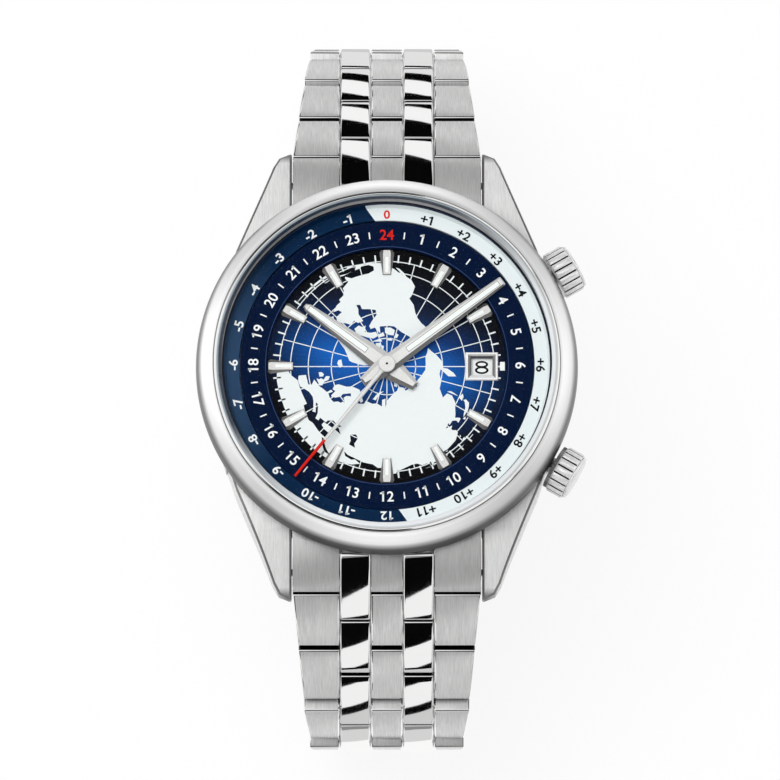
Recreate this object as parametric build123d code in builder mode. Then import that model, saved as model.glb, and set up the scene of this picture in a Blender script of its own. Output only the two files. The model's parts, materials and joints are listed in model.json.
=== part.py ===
from build123d import *
import os
from math import asin, cos, degrees, radians, sin

# World time watch on a closed steel bracelet, millimetres.
# Origin: centre of the case back's outer face. Up is out of the dial, 12 o'clock is +Y, 3 o'clock is +X.

# Case, bezel and crystal
case_bottom = 1.0
case_top = 7.4
case_wall = 5.7
back_ledge = 4.0
back_spigot = 0.9
bezel_radius = 21.0
bezel_overhang = 0.7
bezel_widest = 8.5
bezel_top = 11.75
bezel_lip_inset = 1.65
bezel_shoulder_inset = 0.1
bezel_shoulder_height = 9.7
bezel_crown_inset = 0.7
bezel_crown_height = 10.95
bezel_wall = 2.0
crystal_seat = 0.9
crystal_bottom = 11.15
crystal_thickness = 1.3
crystal_bevel = 0.9
crystal_bevel_drop = 0.5
fit_gap = 0.05
overrun = 2.0
case_radius = bezel_radius - bezel_overhang
case_bore = case_radius - case_wall
back_radius = case_radius - back_ledge
crystal_radius = bezel_radius - bezel_wall
bezel_bore = crystal_radius - crystal_seat

# Pins, bores and knuckles inside the watch repeat many times, so they have few sides
pin_sides = 8
round_sides = 12

# Lugs and end links
strand_width = 20.7
lug_gap = 0.1
lug_overhang = 4.8
lug_reach = case_radius + lug_overhang
lug_tip_width = 1.45
lug_middle_width = 3.15
lug_middle_back = 4.7
lug_root_overhang = 0.94
lug_root_clearance = 0.94
lug_tip_top = 3.8
lug_tip_bottom = 2.3
lug_foot_back = 1.9
lug_slope_back = 8.6
lug_slope_middle_back = 3.7
lug_slope_middle = 6.0
lug_bar_inset = 2.92
lug_bar_height = 2.35
lug_bar_radius = 0.7
lug_bar_tip = 1.2
lug_bar_tip_radius = 0.4
end_link_top = 7.3
end_link_bottom = 1.25
end_link_shoulder_back = 3.7
end_link_shoulder = 6.7
end_link_angle = 34.0
knuckle_root = 4.6

# Bracelet rows, each with three brushed and two polished pieces
row_pitch = 6.72
link_half_thickness = 1.6
row_gap = 0.16
centre_half_width = 1.75
polished_width = 3.34
side_gap = 0.05
row_taper = 1.2
clasp_strand_width = 16.2
edge_break = 0.3
knuckle_break = 0.7
link_pin_radius = 0.4
running_gap = 0.05
pin_engagement = 0.8
seam_back = 0.48
seam_reach = lug_reach - seam_back
seam_height = 4.85
row_angles_12 = (39.6, 44.0, 56.8, 79.0, 106.0, 133.0, 161.0)
row_angles_6 = (39.2, 44.4, 72.8, 101.8, 117.0, 139.0, 159.1)
lug_bar_reach = seam_reach - lug_bar_inset

# Clasp
cover_wall = 0.9
cover_plate = 0.9
cover_depth = 2.5
cover_height = 1.0
cover_overlap = 0.1
blade_thickness = 0.8
blade_half_width = 6.8
blade_gap = 0.2
fold_inset = 7.0
fold_radius = 0.9
cover_hinge_inset = 3.6
cover_hinge_depth = 1.3
cover_hinge_radius = 0.7
cover_hinge_wall = 1.2
clasp_pin_radius = 0.35
clasp_knuckle_radius = 1.5
fold_knuckle_half_width = 3.0
spring_tip_depth = 0.8
spring_barrel_radius = 1.4
pusher_inset = 13.0
pusher_length = 4.0
pusher_width = 1.6
pusher_proud = 0.8

# Dial side
dial_bottom = 8.7
dial_top = 9.1
dial_hole = 1.0
dial_foot_radius = 0.4
dial_foot_inset = 2.5
city_width = 2.95
city_top = 9.7
ring_width = 1.8
ring_gap = 0.1
ring_bottom = 7.5
ring_top = 10.0
marker_length = 2.85
marker_gap = 0.1
marker_inner_width = 0.88
marker_outer_width = 1.66
marker_point = 0.35
marker_height = 0.35
marker_groove = 0.5
marker_groove_depth = 0.12
date_inset = 0.2
date_frame_length = 3.62
date_frame_width = 3.18
date_window_length = 2.4
date_window_width = 1.95
date_frame_height = 0.25
date_disc_inside = 1.8
date_disc_outside = 1.6
date_disc_bottom = 8.4
date_disc_top = 8.6
ring_outer = bezel_bore - ring_gap
ring_inner = ring_outer - ring_width
dial_radius = ring_inner - ring_gap
dial_foot_reach = dial_radius - dial_foot_inset
city_inner = dial_radius - city_width
marker_outer = city_inner - marker_gap
marker_inner = marker_outer - marker_length
date_reach = marker_inner + date_inset
date_disc_inner = date_reach - date_disc_inside
date_disc_outer = date_reach + date_disc_outside

# Hands
hour_angle = -53.3
hour_inset = 4.85
hour_tail = 3.9
hour_root_width = 2.4
hour_tip_width = 1.0
hour_bottom = 9.65
minute_angle = 53.4
minute_inset = 0.7
minute_tail = 3.1
minute_root_width = 2.0
minute_tip_width = 1.1
minute_bottom = 10.05
hand_thickness = 0.25
hand_slot_width = 0.45
hand_slot_start = 2.6
hand_slot_margin = 1.0
hour_tube_outer = 0.9
hour_tube_inner = 0.62
minute_tube_outer = 0.55
minute_tube_inner = 0.32
tube_bottom = 7.6
second_angle = 218.8
second_width = 0.42
second_tip_width = 0.26
second_hub = 0.89
second_arbor = 0.25
second_bottom = 10.45
second_thickness = 0.15
second_cap = 0.5
second_top = 11.0
hour_length = dial_radius - hour_inset
minute_length = dial_radius - minute_inset
second_length = dial_radius

# Movement
movement_gap = 0.1
movement_radius = case_bore - movement_gap
movement_bottom = 4.3
movement_top = 8.3
centre_bore = 1.0
centre_bore_floor = 7.4
rotor_inset = 1.7
rotor_radius = movement_radius - rotor_inset
rotor_rim = 2.0
rotor_bottom = 2.5
rotor_web_bottom = 3.6
rotor_top = 4.1
rotor_hub = 2.2
rotor_post = 1.0
rotor_post_bottom = 3.4

# Crowns, one at 2 and one at 4 o'clock
crown_angle = 30.0
crown_height = 6.2
crown_radius = 2.55
crown_flutes = 26
crown_flute_depth = 0.16
crown_cap_radius = 2.3
crown_cap = 0.4
crown_gap = 0.15
crown_step = 0.4
crown_length = 2.45
tube_outer = 0.9
tube_inner = 0.55
tube_depth = 2.1
tube_gap = 0.1
stem_radius = 0.45
pinion_radius = 1.28
pinion_root = 0.9
pinion_teeth = 10
pinion_inset = 0.3
pinion_pocket = 1.5
stem_depth = 5.2
stem_bore = 0.95
stem_end_gap = 0.7
collar_inset = 1.7
collar_length = 0.6
collar_radius = 0.85
ring_crown_inner = bezel_radius + crown_gap
ring_crown_outer = ring_crown_inner + crown_length
setting_crown_inner = ring_crown_inner + crown_step
setting_crown_outer = setting_crown_inner + crown_length
tube_start = case_radius - tube_depth
tube_end = ring_crown_inner - tube_gap
pinion_start = ring_inner + pinion_inset
pinion_end = ring_outer - pinion_inset
stem_inner_end = movement_radius - stem_depth
stem_bore_start = stem_inner_end - stem_end_gap
collar_start = stem_inner_end + collar_inset
collar_end = collar_start + collar_length

os.makedirs("parts", exist_ok=True)


def keep(piece, name):
    piece.part.label = name
    export_step(piece.part, f"parts/{name}.step")


def pin(radius, sides, mode=Mode.ADD):
    """Section of a pin or knuckle, no larger than its radius anywhere."""
    return RegularPolygon(radius, sides, mode=mode)


def bore(radius, sides, mode=Mode.SUBTRACT):
    """Section of a bore, no smaller than its radius anywhere."""
    return RegularPolygon(radius, sides, major_radius=False, mode=mode)


def row_pivots(row_angles):
    """Pivots of one strand as (reach from the case's centre, height), from the first seam on."""
    first = radians(row_angles[0])
    along = link_half_thickness + row_gap / 2
    reach = seam_reach + along * cos(first) - link_half_thickness * sin(first)
    height = seam_height - along * sin(first) - link_half_thickness * cos(first)
    pivots = [(reach, height)]
    for slope in row_angles:
        reach += row_pitch * cos(radians(slope))
        height -= row_pitch * sin(radians(slope))
        pivots.append((reach, height))
    return pivots


def side_plane(side, pivot, slope):
    """Plane through a pivot, X along the strand, Y out of the bracelet, normal across it."""
    run, fall = cos(radians(slope)), sin(radians(slope))
    return Plane(origin=(0, side * pivot[0], pivot[1]), x_dir=(0, side * run, -fall), z_dir=(side, 0, 0))


def plan_plane(side, pivot, slope):
    """Plane through a pivot, X along the strand, normal out of the bracelet."""
    run, fall = cos(radians(slope)), sin(radians(slope))
    return Plane(
        origin=(0, side * pivot[0], pivot[1]), x_dir=(0, side * run, -fall), z_dir=(0, side * fall, run)
    )


def link_outline(pin, far):
    """Side view of a link: a knuckle round the pin at one end, a square end at the other."""
    half = link_half_thickness
    turn = 1 if far > pin else -1
    knuckle = [
        (pin - turn * half * cos(radians(angle)), -half * sin(radians(angle))) for angle in (0, 30, 60, 90)
    ]
    square_end = [
        (far - turn * edge_break, -half),
        (far, edge_break - half),
        (far, half - edge_break),
        (far - turn * edge_break, half),
    ]
    nose = [(pin - turn * (half - knuckle_break), half), (pin - turn * half, half - knuckle_break)]
    return knuckle + square_end + nose


def column_planes(plane, inner, width):
    """The sketch planes of a left and a right column, both extruded towards the plane's normal."""
    return plane.offset(inner), plane.offset(-inner - width)


polished_inner = centre_half_width + side_gap
polished_outer = polished_inner + polished_width
brushed_inner = polished_outer + side_gap
link_bore_radius = link_pin_radius + running_gap

# Case body: drum with four lugs, bored for the movement, the crown tubes and the lug bars
lug_inner = strand_width / 2 + lug_gap
lug_root_radius = case_radius + lug_root_overhang
crown_half_angle = degrees(asin(crown_radius / ring_crown_inner))
lug_root_angle = crown_angle + crown_half_angle + degrees(lug_root_clearance / lug_root_radius)
lug_root = lug_root_radius * cos(radians(lug_root_angle))
lug_root_reach = lug_root_radius * sin(radians(lug_root_angle))
lug_middle_reach = lug_reach - lug_middle_back
lug_foot_reach = lug_reach - lug_foot_back
crown_planes = {
    turn: Plane(
        origin=(0, 0, crown_height),
        x_dir=(-sin(radians(turn)), cos(radians(turn)), 0),
        z_dir=(cos(radians(turn)), sin(radians(turn)), 0),
    )
    for turn in (crown_angle, -crown_angle)
}
with BuildPart() as case_body:
    with BuildSketch(Plane.XY.offset(case_bottom)):
        with BuildLine():
            inner_edge = Line((lug_inner, 0), (lug_inner, lug_reach))
            tip_edge = Line(inner_edge @ 1, (lug_inner + lug_tip_width, lug_reach))
            flank = ThreePointArc(
                tip_edge @ 1, (lug_inner + lug_middle_width, lug_middle_reach), (lug_root, lug_root_reach)
            )
            Polyline(flank @ 1, (lug_root, 0), inner_edge @ 0)
        make_face()
        mirror(about=Plane.XZ)
        mirror(about=Plane.YZ)
    extrude(amount=case_top - case_bottom)
    with BuildSketch(Plane.YZ):
        with BuildLine():
            roof = Line((0, case_top), (lug_reach - lug_slope_back, case_top))
            slope = ThreePointArc(
                roof @ 1, (lug_reach - lug_slope_middle_back, lug_slope_middle), (lug_reach, lug_tip_top)
            )
            Polyline(
                slope @ 1,
                (lug_reach, lug_tip_bottom),
                (lug_foot_reach, case_bottom),
                (0, case_bottom),
                roof @ 0,
            )
        make_face()
        mirror(about=Plane.YZ)
    extrude(amount=lug_root, both=True, mode=Mode.INTERSECT)
    with BuildSketch(Plane.XY.offset(case_bottom)):
        Circle(case_radius)
    extrude(amount=case_top - case_bottom)
    with BuildSketch(Plane.XY.offset(case_bottom)):
        Circle(case_bore)
    extrude(amount=case_top - case_bottom, mode=Mode.SUBTRACT)
    for plane in crown_planes.values():
        with BuildSketch(plane.offset(case_bore - overrun)):
            bore(tube_outer, round_sides, Mode.ADD)
        extrude(amount=case_radius - case_bore + 2 * overrun, mode=Mode.SUBTRACT)
    with BuildSketch(crown_planes[crown_angle].offset(case_bore - overrun)):
        bore(pinion_pocket, round_sides, Mode.ADD)
    extrude(amount=tube_start - case_bore + overrun, mode=Mode.SUBTRACT)
    for side in (1, -1):
        with BuildSketch(Plane.YZ):
            with Locations((side * lug_bar_reach, lug_bar_height)):
                bore(lug_bar_tip_radius + fit_gap, pin_sides, Mode.ADD)
        extrude(amount=lug_inner + lug_bar_tip, both=True, mode=Mode.SUBTRACT)
keep(case_body, "case_body")

with BuildPart() as case_back:
    with BuildSketch():
        Circle(back_radius)
    extrude(amount=case_bottom)
    with BuildSketch(Plane.XY.offset(case_bottom)):
        Circle(case_bore - fit_gap)
    extrude(amount=back_spigot)
keep(case_back, "case_back")

with BuildPart() as bezel:
    with BuildSketch(Plane.XZ):
        with BuildLine():
            base = Line((bezel_bore, case_top), (case_radius, case_top))
            flank = Line(base @ 1, (bezel_radius, bezel_widest))
            dome = Polyline(
                flank @ 1,
                (bezel_radius - bezel_shoulder_inset, bezel_shoulder_height),
                (bezel_radius - bezel_crown_inset, bezel_crown_height),
                (bezel_radius - bezel_lip_inset, bezel_top),
            )
            Polyline(
                dome @ 1,
                (crystal_radius + fit_gap, bezel_top),
                (crystal_radius + fit_gap, crystal_bottom),
                (bezel_bore, crystal_bottom),
                base @ 0,
            )
        make_face()
    revolve(axis=Axis.Z)
keep(bezel, "bezel")

with BuildPart() as crystal:
    with BuildSketch(Plane.XY.offset(crystal_bottom)):
        Circle(crystal_radius)
    extrude(amount=crystal_thickness)
    top_edge = crystal.edges().group_by(Axis.Z)[-1]
    chamfer(top_edge, length=crystal_bevel_drop, length2=crystal_bevel)
keep(crystal, "crystal")

# Dial with its feet, the raised ring of the 24 hours and the turning offset ring
with BuildPart() as dial:
    with BuildSketch(Plane.XY.offset(dial_bottom)):
        Circle(dial_radius)
        bore(dial_hole, round_sides)
        with Locations((date_reach, 0)):
            Rectangle(date_window_length, date_window_width, mode=Mode.SUBTRACT)
    extrude(amount=dial_top - dial_bottom)
    with BuildSketch(Plane.XY.offset(movement_top)):
        with PolarLocations(dial_foot_reach, 2, start_angle=hour_angle):
            pin(dial_foot_radius, pin_sides)
    extrude(amount=dial_bottom - movement_top)
keep(dial, "dial")

with BuildPart() as city_ring:
    with BuildSketch(Plane.XY.offset(dial_top)):
        Circle(dial_radius)
        Circle(city_inner, mode=Mode.SUBTRACT)
    extrude(amount=city_top - dial_top)
keep(city_ring, "city_ring")

with BuildPart() as offset_ring:
    with BuildSketch(Plane.XY.offset(ring_bottom)):
        Circle(ring_outer)
        Circle(ring_inner, mode=Mode.SUBTRACT)
    extrude(amount=ring_top - ring_bottom)
keep(offset_ring, "offset_ring")

# Eleven applied batons, none at 3 o'clock, each with a groove for its pale centre strip
with BuildPart() as hour_markers:
    with BuildSketch(Plane.XY.offset(dial_top)):
        with PolarLocations(0, 11, start_angle=30, angular_range=330):
            Polygon(
                (marker_inner, -marker_inner_width / 2),
                (marker_outer - marker_point, -marker_outer_width / 2),
                (marker_outer, 0),
                (marker_outer - marker_point, marker_outer_width / 2),
                (marker_inner, marker_inner_width / 2),
                align=None,
            )
    extrude(amount=marker_height)
    groove_length = marker_outer - marker_inner - 2 * marker_point
    with BuildSketch(Plane.XY.offset(dial_top + marker_height)):
        with PolarLocations((marker_inner + marker_outer) / 2, 11, start_angle=30, angular_range=330):
            Rectangle(groove_length, marker_groove)
    extrude(amount=-marker_groove_depth, mode=Mode.SUBTRACT)
keep(hour_markers, "hour_markers")

with BuildPart() as date_frame:
    with BuildSketch(Plane.XY.offset(dial_top)):
        with Locations((date_reach, 0)):
            Rectangle(date_frame_length, date_frame_width)
            Rectangle(date_window_length, date_window_width, mode=Mode.SUBTRACT)
    extrude(amount=date_frame_height)
keep(date_frame, "date_frame")

with BuildPart() as date_disc:
    with BuildSketch(Plane.XY.offset(date_disc_bottom)):
        Circle(date_disc_outer)
        Circle(date_disc_inner, mode=Mode.SUBTRACT)
    extrude(amount=date_disc_top - date_disc_bottom)
keep(date_disc, "date_disc")


def dial_plane(clockwise, height):
    """Plane over the dial whose Y points where a hand points."""
    turn = radians(clockwise)
    return Plane(origin=(0, 0, height), x_dir=(cos(turn), -sin(turn), 0), z_dir=(0, 0, 1))


def hand(name, clockwise, bottom, length, tail, root_width, tip_width, tube_outer_radius, tube_inner_radius):
    """A tapered hand with a slot for its lume, on its tube."""
    with BuildPart() as blade:
        with BuildSketch(dial_plane(clockwise, bottom)):
            with BuildLine():
                Polyline(
                    (-tip_width / 2, length),
                    (tip_width / 2, length),
                    (root_width / 2, root_width / 2),
                    (root_width / 2, -root_width / 2),
                    (tip_width / 2, -tail),
                    (-tip_width / 2, -tail),
                    (-root_width / 2, -root_width / 2),
                    (-root_width / 2, root_width / 2),
                    close=True,
                )
            make_face()
            slot_end = length - hand_slot_margin
            with Locations((0, (hand_slot_start + slot_end) / 2)):
                Rectangle(hand_slot_width, slot_end - hand_slot_start, mode=Mode.SUBTRACT)
        extrude(amount=hand_thickness)
        with BuildSketch(Plane.XY.offset(tube_bottom)):
            pin(tube_outer_radius, round_sides)
        extrude(amount=bottom - tube_bottom)
        with BuildSketch(Plane.XY.offset(tube_bottom)):
            bore(tube_inner_radius, round_sides, Mode.ADD)
        extrude(amount=bottom + hand_thickness - tube_bottom, mode=Mode.SUBTRACT)
    keep(blade, name)


hand(
    "hour_hand", hour_angle, hour_bottom, hour_length, hour_tail, hour_root_width, hour_tip_width,
    hour_tube_outer, hour_tube_inner,
)
hand(
    "minute_hand", minute_angle, minute_bottom, minute_length, minute_tail, minute_root_width,
    minute_tip_width, minute_tube_outer, minute_tube_inner,
)

with BuildPart() as seconds_hand:
    with BuildSketch(dial_plane(second_angle, second_bottom)):
        with BuildLine():
            Polyline(
                (-second_width / 2, 0),
                (-second_tip_width / 2, second_length),
                (second_tip_width / 2, second_length),
                (second_width / 2, 0),
                close=True,
            )
        make_face()
        Circle(second_hub)
    extrude(amount=second_thickness)
    with BuildSketch(Plane.XY.offset(tube_bottom)):
        pin(second_arbor, round_sides)
    extrude(amount=second_bottom - tube_bottom)
    with BuildSketch(Plane.XY.offset(second_bottom)):
        Circle(second_cap)
    extrude(amount=second_top - second_bottom)
keep(seconds_hand, "seconds_hand")

# Movement block with the hands' bore, the stem's bore and the post that the rotor turns on
with BuildPart() as movement:
    with BuildSketch(Plane.XY.offset(movement_bottom)):
        Circle(movement_radius)
    extrude(amount=movement_top - movement_bottom)
    with BuildSketch(Plane.XY.offset(rotor_post_bottom)):
        pin(rotor_post, round_sides)
    extrude(amount=movement_bottom - rotor_post_bottom)
    with BuildSketch(Plane.XY.offset(centre_bore_floor)):
        bore(centre_bore, round_sides, Mode.ADD)
    extrude(amount=movement_top - centre_bore_floor, mode=Mode.SUBTRACT)
    with BuildSketch(crown_planes[-crown_angle].offset(stem_bore_start)):
        bore(stem_bore, round_sides, Mode.ADD)
    extrude(amount=movement_radius - stem_bore_start + overrun, mode=Mode.SUBTRACT)
keep(movement, "movement")

with BuildPart() as rotor:
    with BuildSketch(Plane.XY.offset(rotor_web_bottom)):
        Circle(rotor_radius)
        Rectangle(2 * rotor_radius, rotor_radius, align=(Align.CENTER, Align.MAX), mode=Mode.SUBTRACT)
        Circle(rotor_hub)
        bore(rotor_post + running_gap, round_sides)
    extrude(amount=rotor_top - rotor_web_bottom)
    with BuildSketch(Plane.XY.offset(rotor_bottom)):
        Circle(rotor_radius)
        Circle(rotor_radius - rotor_rim, mode=Mode.SUBTRACT)
        Rectangle(2 * rotor_radius, rotor_radius, align=(Align.CENTER, Align.MAX), mode=Mode.SUBTRACT)
    extrude(amount=rotor_web_bottom - rotor_bottom)
keep(rotor, "rotor")

# Crowns: fluted heads on stems that run in tubes pressed into the case
with BuildPart() as crown_tubes:
    for plane in crown_planes.values():
        with BuildSketch(plane.offset(tube_start)):
            pin(tube_outer, round_sides)
            bore(tube_inner, round_sides)
        extrude(amount=tube_end - tube_start)
keep(crown_tubes, "crown_tubes")


def fluted_points(outer, root, count):
    """Tips and roots of evenly spaced flutes or teeth."""
    step = 180 / count
    radii = (outer, root)
    return [
        (radii[i % 2] * cos(radians(i * step)), radii[i % 2] * sin(radians(i * step)))
        for i in range(2 * count)
    ]


def crown(name, plane, inner, outer):
    """A fluted crown with a smooth cap."""
    with BuildPart() as head:
        with BuildSketch(plane.offset(inner)):
            with BuildLine():
                crown_root = crown_radius - crown_flute_depth
                Polyline(*fluted_points(crown_radius, crown_root, crown_flutes), close=True)
            make_face()
        extrude(amount=outer - crown_cap - inner)
        with BuildSketch(plane.offset(outer - crown_cap)):
            Circle(crown_cap_radius)
        extrude(amount=crown_cap)
    keep(head, name)


crown("ring_crown", crown_planes[crown_angle], ring_crown_inner, ring_crown_outer)
crown("setting_crown", crown_planes[-crown_angle], setting_crown_inner, setting_crown_outer)

with BuildPart() as ring_stem:
    with BuildSketch(crown_planes[crown_angle].offset(pinion_start)):
        with BuildLine():
            Polyline(*fluted_points(pinion_radius, pinion_root, pinion_teeth), close=True)
        make_face()
    extrude(amount=pinion_end - pinion_start)
    with BuildSketch(crown_planes[crown_angle].offset(pinion_end)):
        pin(stem_radius, round_sides)
    extrude(amount=ring_crown_inner - pinion_end)
keep(ring_stem, "ring_stem")

with BuildPart() as winding_stem:
    with BuildSketch(crown_planes[-crown_angle].offset(stem_inner_end)):
        pin(stem_radius, round_sides)
    extrude(amount=setting_crown_inner - stem_inner_end)
keep(winding_stem, "winding_stem")

with BuildPart() as stem_collar:
    with BuildSketch(crown_planes[-crown_angle].offset(collar_start)):
        pin(collar_radius, round_sides)
        bore(stem_radius + running_gap, round_sides)
    extrude(amount=collar_end - collar_start)
keep(stem_collar, "stem_collar")


# Bracelet: two strands of rows, each row pinned to the knuckles of the one before it
def half_width(row):
    """Half the strand's width at the seam after a row, row 0 being the end link."""
    return max(strand_width - row * row_taper, clasp_strand_width) / 2


def end_link(name, side, pivot):
    """Block between the lugs, with the two knuckles that the first row is pinned to."""
    plane = side_plane(side, pivot, end_link_angle)
    face = plane.origin - plane.x_dir * (link_half_thickness + row_gap)
    top_corner = face + plane.y_dir * link_half_thickness
    low_corner = face - plane.y_dir * (link_half_thickness / 2)
    with BuildPart() as block:
        with BuildSketch(Plane.YZ):
            with BuildLine():
                Polyline(
                    (side * case_radius / 2, end_link_bottom),
                    (side * lug_bar_reach, end_link_bottom),
                    (low_corner.Y, low_corner.Z),
                    (top_corner.Y, top_corner.Z),
                    (side * (lug_reach - end_link_shoulder_back), end_link_shoulder),
                    (side * case_radius, end_link_top),
                    (side * case_radius / 2, end_link_top),
                    close=True,
                )
            make_face()
        extrude(amount=strand_width / 2, both=True)
        for column in column_planes(plane, polished_inner, polished_width):
            with BuildSketch(column):
                with BuildLine():
                    Polyline(*link_outline(0, -knuckle_root), close=True)
                make_face()
            extrude(amount=polished_width)
        with BuildSketch(Plane.XY):
            Circle(case_radius + fit_gap)
        extrude(amount=case_top + overrun, both=True, mode=Mode.SUBTRACT)
        with BuildSketch(plane):
            bore(link_bore_radius, pin_sides, Mode.ADD)
        extrude(amount=brushed_inner, both=True, mode=Mode.SUBTRACT)
        with BuildSketch(Plane.YZ):
            with Locations((side * lug_bar_reach, lug_bar_height)):
                bore(lug_bar_radius + fit_gap, pin_sides, Mode.ADD)
        extrude(amount=strand_width, both=True, mode=Mode.SUBTRACT)
    keep(block, name)


def lug_bar(name, side):
    """Spring bar that holds the end link between the lugs."""
    with BuildPart() as bar:
        with BuildSketch(Plane.YZ):
            with Locations((side * lug_bar_reach, lug_bar_height)):
                pin(lug_bar_radius, pin_sides)
        extrude(amount=strand_width / 2, both=True)
        with BuildSketch(Plane.YZ):
            with Locations((side * lug_bar_reach, lug_bar_height)):
                pin(lug_bar_tip_radius, pin_sides)
        extrude(amount=lug_inner + lug_bar_tip - fit_gap, both=True)
    keep(bar, name)


def brushed_row(name, side, pivot, slope, row):
    """Outer, centre and outer piece of one row, with the pivot pin that they hold."""
    plane = side_plane(side, pivot, slope)
    far = row_pitch - link_half_thickness - row_gap
    with BuildPart() as pieces:
        with BuildSketch(plane):
            with BuildLine():
                Polyline(*link_outline(0, far), close=True)
            make_face()
        extrude(amount=half_width(row - 1), both=True)
        with BuildSketch(plan_plane(side, pivot, slope)):
            with BuildLine():
                Polyline(
                    (-link_half_thickness, -half_width(row - 1)),
                    (far, -half_width(row)),
                    (far, half_width(row)),
                    (-link_half_thickness, half_width(row - 1)),
                    close=True,
                )
            make_face()
            middle = brushed_inner - centre_half_width
            with GridLocations(0, brushed_inner + centre_half_width, 1, 2):
                Rectangle(4 * row_pitch, middle, mode=Mode.SUBTRACT)
        extrude(amount=2 * link_half_thickness, both=True, mode=Mode.INTERSECT)
        with BuildSketch(plane):
            pin(link_pin_radius, pin_sides)
        extrude(amount=brushed_inner + pin_engagement, both=True)
    keep(pieces, name)


def polished_row(name, side, pivot, slope):
    """The two polished pieces of one row, bored for the pin of the next row."""
    plane = side_plane(side, pivot, slope)
    with BuildPart() as pieces:
        for column in column_planes(plane, polished_inner, polished_width):
            with BuildSketch(column):
                with BuildLine():
                    Polyline(*link_outline(row_pitch, link_half_thickness + row_gap), close=True)
                make_face()
                with Locations((row_pitch, 0)):
                    bore(link_bore_radius, pin_sides)
            extrude(amount=polished_width)
    keep(pieces, name)


strands = ((12, 1, row_angles_12), (6, -1, row_angles_6))
for hour, side, row_angles in strands:
    pivots = row_pivots(row_angles)
    end_link(f"end_link_{hour}", side, pivots[0])
    lug_bar(f"lug_bar_{hour}", side)
    for row, slope in enumerate(row_angles, start=1):
        brushed_row(f"row_{hour}_{row}_brushed", side, pivots[row - 1], slope, row)
        polished_row(f"row_{hour}_{row}_polished", side, pivots[row - 1], slope)

# Clasp: a cover over two folded blades, level at the height of the 12 o'clock strand's end
clasp_12, clasp_height = row_pivots(row_angles_12)[-1]
clasp_6 = -row_pivots(row_angles_6)[-1][0]
cover_inner = clasp_strand_width / 2 + cover_overlap
cover_low = clasp_height - cover_depth
cover_high = clasp_height + cover_height
fold_reach = clasp_6 + fold_inset
long_blade_top = cover_low + cover_plate + blade_gap + blade_thickness
short_blade_bottom = long_blade_top + blade_gap
short_blade_top = short_blade_bottom + blade_thickness
fold_height = short_blade_top - fold_radius
cover_hinge_reach = clasp_12 - cover_hinge_inset
cover_hinge_height = clasp_height - cover_hinge_depth
clasp_bore_radius = clasp_pin_radius + running_gap
knuckle_gap = fold_radius + row_gap
pusher_reach = clasp_6 + pusher_inset


def clasp_box(x_far, y_near, y_far, low, high):
    """A plate of the clasp, even about the middle of the bracelet."""
    with BuildSketch(Plane.XY.offset(low)) as plate:
        with Locations((0, (y_near + y_far) / 2)):
            Rectangle(2 * x_far, y_far - y_near)
    extrude(plate.sketch, amount=high - low)


def clasp_disc(reach, height, radius, inner, outer):
    """A pair of knuckles about one axis across the bracelet, or one knuckle where inner is zero."""
    for column in column_planes(Plane.YZ, inner, outer - inner):
        with BuildSketch(column) as knuckle:
            with Locations((reach, height)):
                pin(radius, round_sides)
        extrude(knuckle.sketch, amount=outer - inner)


def clasp_bore(reach, height, radius, half_length):
    """A bore about an axis across the bracelet."""
    with BuildSketch(Plane.YZ) as section:
        with Locations((reach, height)):
            bore(radius, pin_sides, Mode.ADD)
    extrude(section.sketch, amount=half_length, both=True, mode=Mode.SUBTRACT)


ear_inner = brushed_inner
ear_back = clasp_6 + link_half_thickness + row_gap
with BuildPart() as clasp_cover:
    for column in column_planes(Plane.YZ, cover_inner, cover_wall):
        with BuildSketch(column):
            with BuildLine():
                Polyline(
                    (clasp_6, cover_high),
                    (cover_hinge_reach, cover_high),
                    (cover_hinge_reach + cover_hinge_wall, cover_hinge_height),
                    (cover_hinge_reach, cover_low),
                    (clasp_6, cover_low),
                    (clasp_6 - link_half_thickness, clasp_height),
                    close=True,
                )
            make_face()
        extrude(amount=cover_wall)
    for column in column_planes(Plane.YZ, ear_inner, cover_inner + cover_wall - ear_inner):
        with BuildSketch(column):
            with BuildLine():
                Polyline(
                    (clasp_6, cover_high),
                    (ear_back + cover_wall, cover_high),
                    (ear_back + cover_wall, cover_low),
                    (clasp_6, cover_low),
                    (clasp_6 - link_half_thickness, clasp_height),
                    close=True,
                )
            make_face()
        extrude(amount=cover_inner + cover_wall - ear_inner)
    plate_end = cover_hinge_reach - cover_hinge_wall
    clasp_box(cover_inner, ear_back, plate_end, cover_low, cover_low + cover_plate)
    clasp_bore(clasp_6, clasp_height, link_bore_radius, ear_inner + spring_tip_depth)
    for column in column_planes(Plane.YZ, cover_inner - overrun, 2 * overrun):
        with BuildSketch(column):
            with Locations((pusher_reach, (cover_low + cover_high) / 2)):
                Rectangle(pusher_length + 2 * running_gap, pusher_width + 2 * running_gap)
        extrude(amount=2 * overrun, mode=Mode.SUBTRACT)
    with BuildSketch(Plane.YZ):
        with Locations((cover_hinge_reach, cover_hinge_height)):
            pin(clasp_pin_radius, pin_sides)
    extrude(amount=cover_inner + cover_wall / 2, both=True)
keep(clasp_cover, "clasp_cover")

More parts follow.
